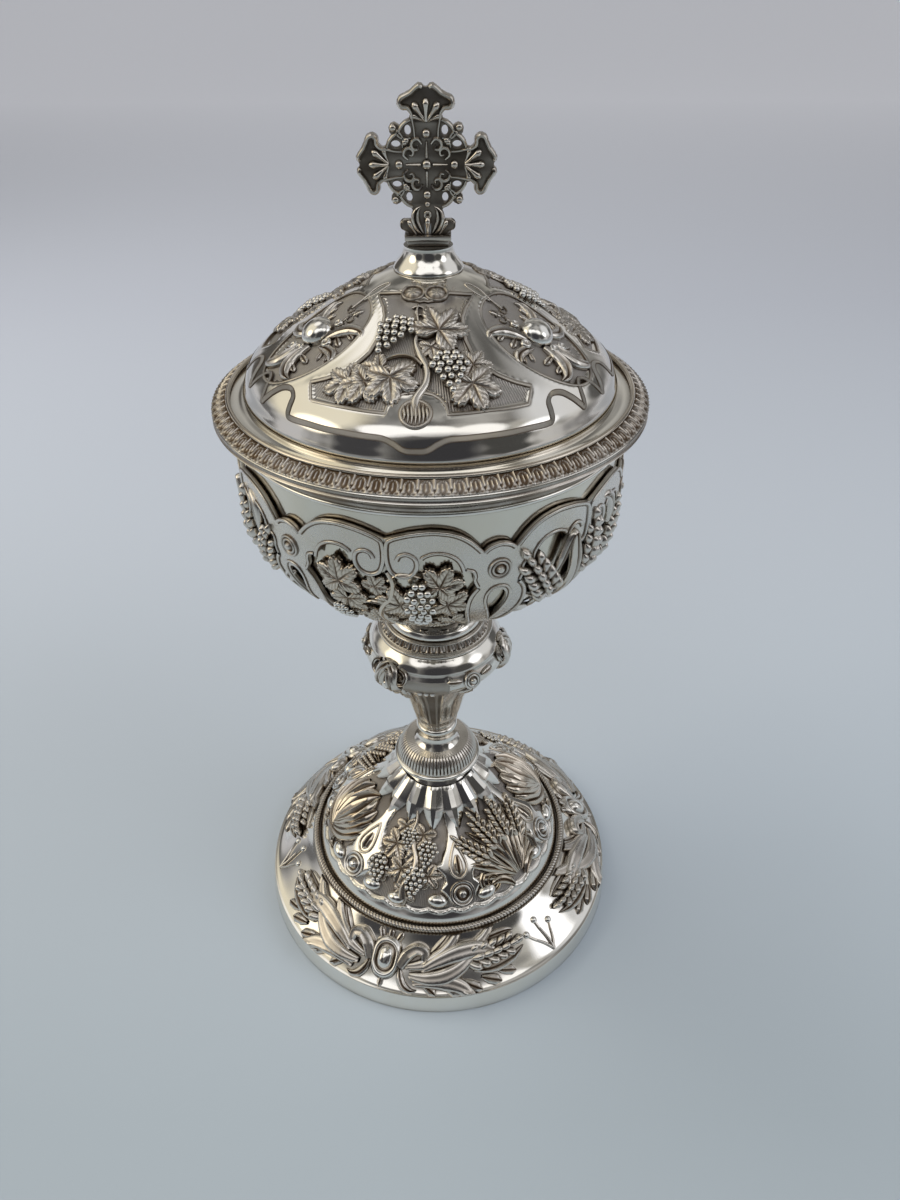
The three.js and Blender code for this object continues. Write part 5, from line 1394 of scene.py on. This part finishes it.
for plane in (Standing(1), Standing(-1)):

    def turned_to(pattern, x, y, turn, size, lift):
        """Places a berry at a point of the upright arm, turned to another arm."""
        across, up = turned(np.array([[x, y]]), turn)
        return (pattern, plane, across[0], -up[0], 0, size, lift)

    for turn in (0, 90, 180, 270):
        for flip in (1, -1):
            if turn != 180:
                cross_parts.append((edge_ridge, plane, 0, 0, turn, 1, 0.9, flip))
            cross_parts += [
                (corner_curl, plane, 0, 0, turn, 1, 0.9, flip), (bracket, plane, 0, 0, turn, 1, 0.8, flip),
                turned_to(small_berry, 5.1 * flip, 5.6, turn, 0.85, 1.2)]
        if turn != 180:
            cross_parts.append((palmette, plane, 0, 0, turn, 1, 0.95))
        cross_parts += [
            (mid_ridge, plane, 0, 0, turn, 1, 1.1), turned_to(berry, 0, 7.2, turn, 1.0, 1.1),
            turned_to(small_berry, 8.4, 8.5, turn, 1.15, 0.8), turned_to(small_berry, 7.6, 7.2, turn, 0.8,
            0.9)]
    cross_parts += [(berry, plane, 0, 0, 0, 1.15, 1.1), (small_berry, plane, 0, 9.6, 0, 0.9, 1.0)]
    for flip in (1, -1):
        cross_parts += [
            (curl_leaf, plane, flip * 1.2, 17.2, -12 * flip, 0.66, 1.0, flip),
            (club, plane, flip * 3.2, 17.2, -30 * flip, 0.8, 0.9), (scroll, plane, flip * 6.2, 15.0, 0, 0.3,
            0.9, flip)]
    cross_parts += [(club, plane, 0, 17.4, 0, 0.9, 1.2), (ringed_berry, plane, 0, 12.2, 0, 0.7, 1.1)]
cross_parts += [(box("cross_foot", 6.3, -18.6, -17.2, 6.0), middle_plane, 0, 0, 0, 1, -3.0),
                (box("cross_sole", 5.6, -20.0, -18.5, 5.0), middle_plane, 0, 0, 0, 1, -2.5)]
laid("cross_casting", CAST, "lid", cross_parts, "cross", crease=45)

# %% [markdown]
# ## Knop
# The knop swells under a band of small leaves and tapers to the neck. Its shoulder is polished. Below
# it stand three acanthus cartouches and three ringed buttons, and between them framed panels run down
# to the neck.

# %% Knop body
knop_line = smooth(
    [(20.8, 136), (23.6, 133.1), (26.4, 127.7), (25.2, 123.6), (18.6, 116.3), (13.2, 105.7), (9.7, 93.9),
    (7, 87)], 84)
knop = Surface(knop_line)
KNOP_LEAVES = (-40.0, 80.0, 200.0)
KNOP_BUTTONS = (31.0, 151.0, 271.0)
KNOP_PANELS = (-6.0, 114.0, 234.0)


def from_panels(azimuth):
    """How many degrees points lie from the middle of each knop panel."""
    return [np.abs(wrapped(azimuth - middle)) for middle in KNOP_PANELS]


def knop_relief(azimuth, down):
    """Panels sunk between narrow ribs on the lower part, and a step under the polished shoulder."""
    lift = -0.45 * np.clip((down - 5.6) / 0.6, 0, 1) * np.clip((52 - down) / 2, 0, 1)
    for x in from_panels(azimuth):
        rib = bump_at(x - 17, 2.2) * np.clip((down - 5.9) / 1.5, 0, 1)
        low = bump_at(x - 7.5, 2.0) * np.clip((down - 19) / 2, 0, 1)
        lift = lift + (0.55 * rib + 0.3 * low) * np.clip((50 - down) / 4, 0, 1)
    return lift


def knop_hollow(azimuth, down):
    shade = 0.7 * bump_at(down - 5.9, 0.4) + 0.12 * np.clip(down - 6, 0, 1)
    for x in from_panels(azimuth):
        shade = shade + 0.55 * np.clip((down - 21) / 4, 0, 1) * np.clip((15.5 - x) / 2, 0, 1) * (
            np.abs(x - 7.5) > 1.8)
    return shade + 0.15 * np.clip((down - 14) / 10, 0, 1)


def in_knop_panel(azimuth, down):
    return (down > 8.5) & (down < 50) & (
        np.min(from_panels(azimuth), axis=0) < np.where(down < 19, 17.5, 14.5))


knop_body = spun("knop_body", np.vstack([knop_line, [(5.6, 87.2), (5.6, 135.9)]]), 360)
carve(knop_body, knop, 6.0, knop_relief, knop_hollow)
finish(knop_body, POLISHED, "vessel", "knop", crease=50)
matted(knop_body, knop, ENGRAVED, in_knop_panel, 0.25)

# %% Band of small leaves
band_line = smooth(
    [(17.0, 140.7), (17.9, 140.6), (18.4, 140.2), (18.3, 139.6), (19.4, 138.0), (20.0, 137.5),
    (20.9, 137.2), (21.1, 136.6), (20.7, 136.0)], 30)
SMALL_LEAVES = 34


def small_leaves(azimuth, down):
    """How deep the ground lies between the small leaves, from 0 to 1."""
    x = np.abs((azimuth / 360 * SMALL_LEAVES + 0.5) % 1 - 0.5)
    v = np.clip((down - 1.9) / 2.4, 0, 1)
    raised = bump_at(x - 0.30 * np.sqrt(1 - (v - 0.35) ** 2), 0.09) + bump_at(x, 0.12) * (v < 0.75)
    return np.where((down > 1.9) & (down < 4.3), 1 - np.clip(raised, 0, 1), 0.0)


leaf_ring = spun("knop_leaf_band", np.vstack([band_line, [(9, 136), (9, 140.7)]]), SMALL_LEAVES * 14)
carve(leaf_ring, Surface(band_line), 12, lambda azimuth, down: -0.5 * small_leaves(azimuth, down),
      lambda azimuth, down: 0.8 * small_leaves(azimuth, down))
finish(leaf_ring, EMBOSSED, "vessel", "knop_band", crease=60)

# %% Cartouches, buttons and drops
drop = button("drop", (0, 1.0, 0), (0.5, 0.9, 0), (0.9, 0.3, 0.6), (1.0, 0.0, 0.9), depth=2.3)
knop_parts, knop_buttons = [], []
for middle in KNOP_LEAVES:
    knop_parts += on(knop, middle, [(acanthus, 0, 20.5, 0, 1.35), (acanthus, 0, 20.5, 0, 1.35, 0.0, -1)])
    knop_parts += both_sides(knop, middle, [
        (scroll, 11, 8.6, 0, 0.75, 0.0, 1), (curl_leaf, 6, 14.5, 20, 1.1, 0.3, 1),
        (petal, 5, 24.0, 168, 1.1, -0.2, 1), (small_berry, 8.5, 13.4, 0, 1.1, 0.5, 0)])
    knop_parts += on(knop, middle, [(petal, 0, 4.0, 180, 1.1, 0.3), (petal, 0, 21.5, 180, 1.3, 0.2)])
    knop_buttons += on(knop, middle, [(fruit, 0, 13.5, 0, 2.2, 0.6)])
for middle in KNOP_BUTTONS:
    knop_buttons += on(knop, middle, [(boss, 0, 9.8, 0, 1.0, -0.1)])
    knop_parts += both_sides(
        knop, middle, [(curl_leaf, 3, 14.0, 145, 0.65, -0.2, 1), (petal, 9, 9.0, -85, 0.8, -0.3, 1)])
    knop_parts += on(knop, middle, [(petal, 0, 13.5, 180, 1.1, -0.2)])
for middle in KNOP_PANELS:
    knop_buttons += on(knop, middle, [(drop, k * 5.2 - 1, 16.2, 0, 0.85, -0.3) for k in (-1, 0, 1)])
laid("knop_cartouches", EMBOSSED, "vessel", knop_parts)
laid("knop_buttons", BRIGHT, "vessel", knop_buttons)

# %% [markdown]
# ## Foot dome
# Six keyhole straps with a drop and a ringed button divide the dome. The bays between them show
# grapes, wheat and a shell-like fan by turns. A scalloped edge closes the relief, and below it the
# metal is smooth down to the corner.

# %% Foot dome sheet
foot = Surface(smooth([(13, 64), (24, 51.9), (40, 39.8), (50, 28.1), (52.6, 22.3)], 96))
FOOT_STRAPS = (12.7, 73.0, 132.0, 192.7, 253.0, 312.0)
strap_half = [
    (2.3, 12), (1.9, 19), (2.2, 22.5), (3.6, 26.5), (5.2, 29.2), (6.2, 31.6), (8.6, 32.6), (9.2, 34.0),
    (7.6, 35.4), (5.9, 37.2), (5.7, 39.4), (7.4, 41.0), (8.3, 42.6), (6.8, 44.0), (5.6, 46.0), (4.0, 48.3),
    (2.0, 49.3)]
strap_outline = np.array([*strap_half, *mirrored(strap_half)], float)
strap_outline[:, 0] = np.degrees(strap_outline[:, 0] / foot.radius(strap_outline[:, 1]))
SHEET_WALL = 1.1


def strap_depth(azimuth, down):
    return outline_depth(azimuth, down, FOOT_STRAPS, 22, strap_outline)


def scallop(azimuth):
    """How far down the scalloped edge of the relief lies."""
    return 50.2 + 1.1 * np.abs(np.sin(np.radians(azimuth + 4) * 16.5))


def foot_relief(azimuth, down):
    raised = np.clip(0.5 + strap_depth(azimuth, down) / 0.8, 0, 1)
    field = np.clip((scallop(azimuth) - down) / 0.7, 0, 1)
    return raised * 0.9 * (down < 50) - 0.4 * field * (1 - raised) + 0.3 * bump_at(
        down - scallop(azimuth), 0.5)


def foot_hollow(azimuth, down):
    ground = (strap_depth(azimuth, down) < -0.15) * (down < scallop(azimuth) - 0.4) * (down > 12)
    return 0.5 * ground + 0.8 * bump_at(down - scallop(azimuth) - 0.7, 0.25)


foot_sheet = spun("foot_dome_sheet", sheet_section(foot, SHEET_WALL, 4), 540)
chase(foot_sheet, foot, SHEET_WALL, foot_relief, foot_hollow)
finish(foot_sheet, POLISHED, "vessel", "foot_dome", crease=50)
matted(foot_sheet, foot, GROUND,
       lambda azimuth, down: (strap_depth(azimuth, down) < -0.2) & (down > 11) & (down < 49.5))

# %% Bays of the foot dome
strap_drop = swept(
    "strap_drop", [(0, 6.6), (1.6, 3.0), (2.7, -0.8), (2.2, -3.4), (0, -4.8), (-2.2, -3.4), (-2.7, -0.8),
    (-1.6, 3.0), (0, 6.6)], 0.55, 0.85, rows=10, steps=60)
fan_leaf = leaf("fan_leaf", [(0, 0), (0.9, 5), (0.9, 10), (-0.6, 15), (-2.4, 18)], [0.6, 1.9, 2.9, 2.6, 0.5],
                [0.9, 1.8, 2.2, 2.0, 0.5], 30)
bead_oval = copied(fruit)
set_points(bead_oval, points_of(bead_oval) * [1.25, 0.85, 1.0])
WHEAT_BAY = [(reed, 2 - turn * 0.05, 46.0, turn, size * 1.15, 0.2, flip) for turn, size, flip in (
    (66, 0.85, 1), (50, 1.0, 1), (34, 1.1, -1), (17, 1.2, 1), (0, 1.25, -1), (-16, 1.2, -1), (-32, 1.1, 1),
    (-48, 1.0, -1), (-64, 0.8, -1))]
WHEAT_BAY += [(wheat_ear, x, d, turn, size, 0.9) for x, d, turn, size in (
    (-10, 36, 40, 1.15), (-2, 33, 14, 1.2), (7, 33.5, -8, 1.2), (14, 36, -34, 1.1))]
WHEAT_BAY += [(scroll, -14, 43.5, 30, 1.1, 0.5, -1), (curl_leaf, 5, 49.0, -70, 1.1, 0.6, -1),
              (curl_leaf, -3, 49.5, 60, 1.0, 0.6), (curl_leaf, 15, 47.5, -10, 1.0, 0.5)]
FAN_BAY = [(fan_leaf, -1.28 * step, 45.5, -16 * step, 1.52 - 0.07 * abs(step), 0.2, 1 if step > 0 else -1)
           for step in range(-4, 5)]
FAN_BAY += [(scroll, side * 9.5, 46.0, 0, 0.9, 0.4, side) for side in (-1, 1)]
VINE_BAY = [(vine_leaf, x, d, turn, size, 0.1, flip) for x, d, turn, size, flip in (
    (-11, 27.5, 160, 1.25, 1), (4, 28, 200, 1.15, 1), (-3, 36, 175, 1.15, 1), (-13, 38.5, 140, 0.9, 1),
    (13, 37, 215, 1.0, 1), (7, 21.5, 160, 1.0, 1), (-9, 20, 200, 0.95, -1), (1, 44.5, 180, 0.95, 1))]
VINE_BAY.append((vine_stem, 1, 30, 0, 1.1, 0.4))
VINE_PEARLS = [(small_grapes, x, d, turn, size, 0.6) for x, d, turn, size in (
    (-16, 39.5, 12, 1.05), (5.5, 39.5, -4, 1.1), (11.5, 28.5, -8, 0.95), (-3.5, 24, 6, 0.8))]
VINE_PEARLS.append((bead_oval, -2.5, 47.8, 0, 3.0, -0.2))
shapes, pearls = [], []
for k, middle in enumerate(FOOT_STRAPS):
    pearls += on(foot, middle, [(boss, 0, 44.4, 0, 1.5, 0.6)])
    shapes += on(foot, middle, [(strap_drop, 0, 32.6, 0, 1.2, 0.55), (petal, 0, 29.5, 180, 1.15, 0.4)])
    pearls += both_sides(foot, middle, [(bead_oval, 13.5 if k % 3 else 12.5, 46.6, 12, 3.4, -0.2, 0)])
    shapes += on(foot, middle + 30.3, (WHEAT_BAY, FAN_BAY, VINE_BAY)[k % 3])
    pearls += on(foot, middle + 30.3, ([], [], VINE_PEARLS)[k % 3])
laid("foot_dome_ornament", OXIDISED, "vessel", shapes)
laid("foot_dome_pearls", BRIGHT, "vessel", pearls)

# %% Leaf collar
collar_leaf = swept(
    "collar_leaf", [(0, -0.5), (0, 3.5), (0, 8.5), (0, 12.5), (0, 17.2)], [3.3, 4.2, 4.6, 3.1, 0.1],
    [1.1, 1.6, 2.1, 1.6, 0.25], fold_section, rows=14, steps=24, sink=0.3)
collar_leaves = [
    (collar_leaf, foot, -4.0 + 22.5 * k, 2.6, 180, 1.0 + 0.05 * math.sin(k * 2.4), 0.1) for k in range(16)]
laid("foot_leaf_collar", POLISHED, "vessel", collar_leaves, "leaf_collar", crease=25)

# %% [markdown]
# ## Foot flange
# The flange is polished. Three cartouches with a smooth oval stone of silver stand on it, and from
# each of them wheat and pointed leaves sweep out to both sides.

# %% Flange sheet and cord
skirt = Surface(smooth([(55.6, 22.3), (59.2, 19.0), (66.2, 13.5), (71.6, 9.3), (73.8, 8.5)], 48))
skirt_section = np.vstack([[(51.0, 22.3)], sheet_section(skirt, SHEET_WALL, 4), [(51.0, 21.2)]])
lathe("foot_skirt_sheet", "foot_flange", skirt_section, FLUTED)
CORD_RADIUS, CORD_Z, TWISTS = 54.0, 23.7, 240
cord = spun("foot_cord", ring_section(CORD_RADIUS, CORD_Z, 1.1, 14), TWISTS * 5)
p = points_of(cord) / MM
azimuth, radius = polar(p)
angle = np.radians(azimuth)
away = np.stack([radius - CORD_RADIUS, p[:, 2] - CORD_Z], 1)
size = 1 - 0.24 * np.abs(np.sin((np.arctan2(away[:, 1], away[:, 0]) * 2 + angle * TWISTS) / 2)) ** 6
radius = CORD_RADIUS + away[:, 0] * size
set_points(
    cord, np.stack([radius * np.sin(angle), -radius * np.cos(angle), CORD_Z + away[:, 1] * size], 1) * MM)
write_tarnish_and_shade(cord, (1 - size) * 3.5)
finish(cord, EMBOSSED, "vessel", "foot_cord_ring", crease=60)

# %% Flange ornament
CARTOUCHES = (-18.4, 101.6, 221.6)
stone = button("stone", (0, 3.6, 0), (1.2, 3.4, 0), (2.2, 2.7, 0), (2.9, 1.3, 0.4), (3.2, 0.9, 0.9),
               (3.6, 1.8, 0.2), (4.3, 1.9, 0.1), (5.0, 0.9, 0.3), (5.3, 0.2, 0.6), depth=1.45)
long_leaf = leaf(
    "long_leaf", [(0, 0), (1.6, 6), (2.0, 12), (0.6, 18), (-2.4, 23), (-5.2, 26)],
    [1.0, 2.4, 3.1, 2.7, 1.7, 0.1], [1.2, 2.2, 2.5, 2.2, 1.7, 0.3], 44, rows=18)
hook_leaf = leaf(
    "hook_leaf", [(0, 0), (1.0, 4), (3.2, 6.8), (6.0, 6.6), (6.6, 4.2), (4.8, 3.2)],
    [1.6, 2.2, 2.2, 1.8, 1.4, 0.6], [1.4, 2.4, 2.8, 2.6, 2.1, 1.2], 44, rows=18)
fat_stalk = swept(
    "fat_stalk", [(0, 0), (0.4, 5), (0, 10), (0, 14)], [0.75, 0.7, 0.6, 0.5], 1.0, rows=10, steps=20)
SWEEP = [
    (hook_leaf, 5.4, 13.0, -12, 1.25, 0.2, 1), (curl_leaf, 5.5, 13.5, 220, 1.0, 0.1, 1),
    (petal, 2.6, 4.8, -24, 0.75, 0.3, 1), (long_leaf, 7.5, 12.5, -62, 1.0, 0.3, 1),
    (long_leaf, 9.0, 15.5, -78, 1.2, 0.3, 1), (long_leaf, 10.5, 18.2, -96, 1.1, 0.1, -1),
    (long_leaf, 13.0, 13.0, -76, 1.3, 0.6, -1), (long_leaf, 19.0, 7.5, -76, 1.0, 0.2, 1),
    (reed, 13.0, 9.0, -50, 0.85, 0.2, 1), (petal, 13.5, 17.2, -132, 1.1, 0.2, 1),
    (petal, 20.0, 17.4, -126, 1.25, 0.2, 1), (petal, 26.5, 17.4, -120, 1.3, 0.2, 1),
    (petal, 33.0, 17.2, -114, 1.25, 0.2, 1), (petal, 39.0, 16.6, -108, 1.1, 0.2, 1),
    (reed, 31.0, 14.0, -92, 1.2, 0.4, 1), (reed, 33.0, 5.0, -82, 0.9, 0.1, -1),
    (wheat_ear, 29.0, 9.6, -88, 1.6, 0.9, 1)]
STALK_LENGTH, STALK_DOWN, STALK_RADIUS = 14.0, 20.4, 66.0
skirt_parts, stones = [], []
for middle in CARTOUCHES:
    stones += on(skirt, middle, [(stone, 0, 10.6, 0, 1.12, 0.2)])
    skirt_parts += both_sides(skirt, middle, SWEEP)
    skirt_parts += on(skirt, middle, [(petal, 0, 4.6, 0, 0.75, 0.4), (petal, 0, 17.2, 180, 0.7, 0.1)])
    for turn, size in ((36, 0.95), (6, 1.0), (-24, 0.8)):
        skirt_parts += on(skirt, middle + 60.0, [(fat_stalk, 0, STALK_DOWN, turn, size)])
        a, reach = math.radians(turn), STALK_LENGTH * size
        across = math.degrees(-math.sin(a) * reach / STALK_RADIUS)
        stones += on(skirt, middle + 60.0, [(fruit, across, STALK_DOWN - math.cos(a) * reach, 0, 1.35, 0.1)])
laid("foot_skirt_leaves", EMBOSSED, "vessel", skirt_parts)
laid("foot_skirt_stones", BRIGHT, "vessel", stones)

# %% [markdown]
# ## Fittings and clearing up
# A threaded rod holds the stem together, with a nut in the foot, and small nuts hold the cross. They
# are plain steel, so the CAD pieces stay and only get a material. The flat patterns have done their
# work and are cleared away.

# %% Steel fittings and clearing up
for name in ("knop_tube", "cup_boss", "tie_rod", "foot_washer", "foot_nut",
             "cross_washer", "cross_nut", "cross_stud"):
    for slot in bpy.data.objects[name].material_slots:
        slot.material = STEEL
for obj in [obj for obj in bpy.data.objects if obj.name.startswith(PATTERN)]:
    bpy.data.objects.remove(obj, do_unlink=True)
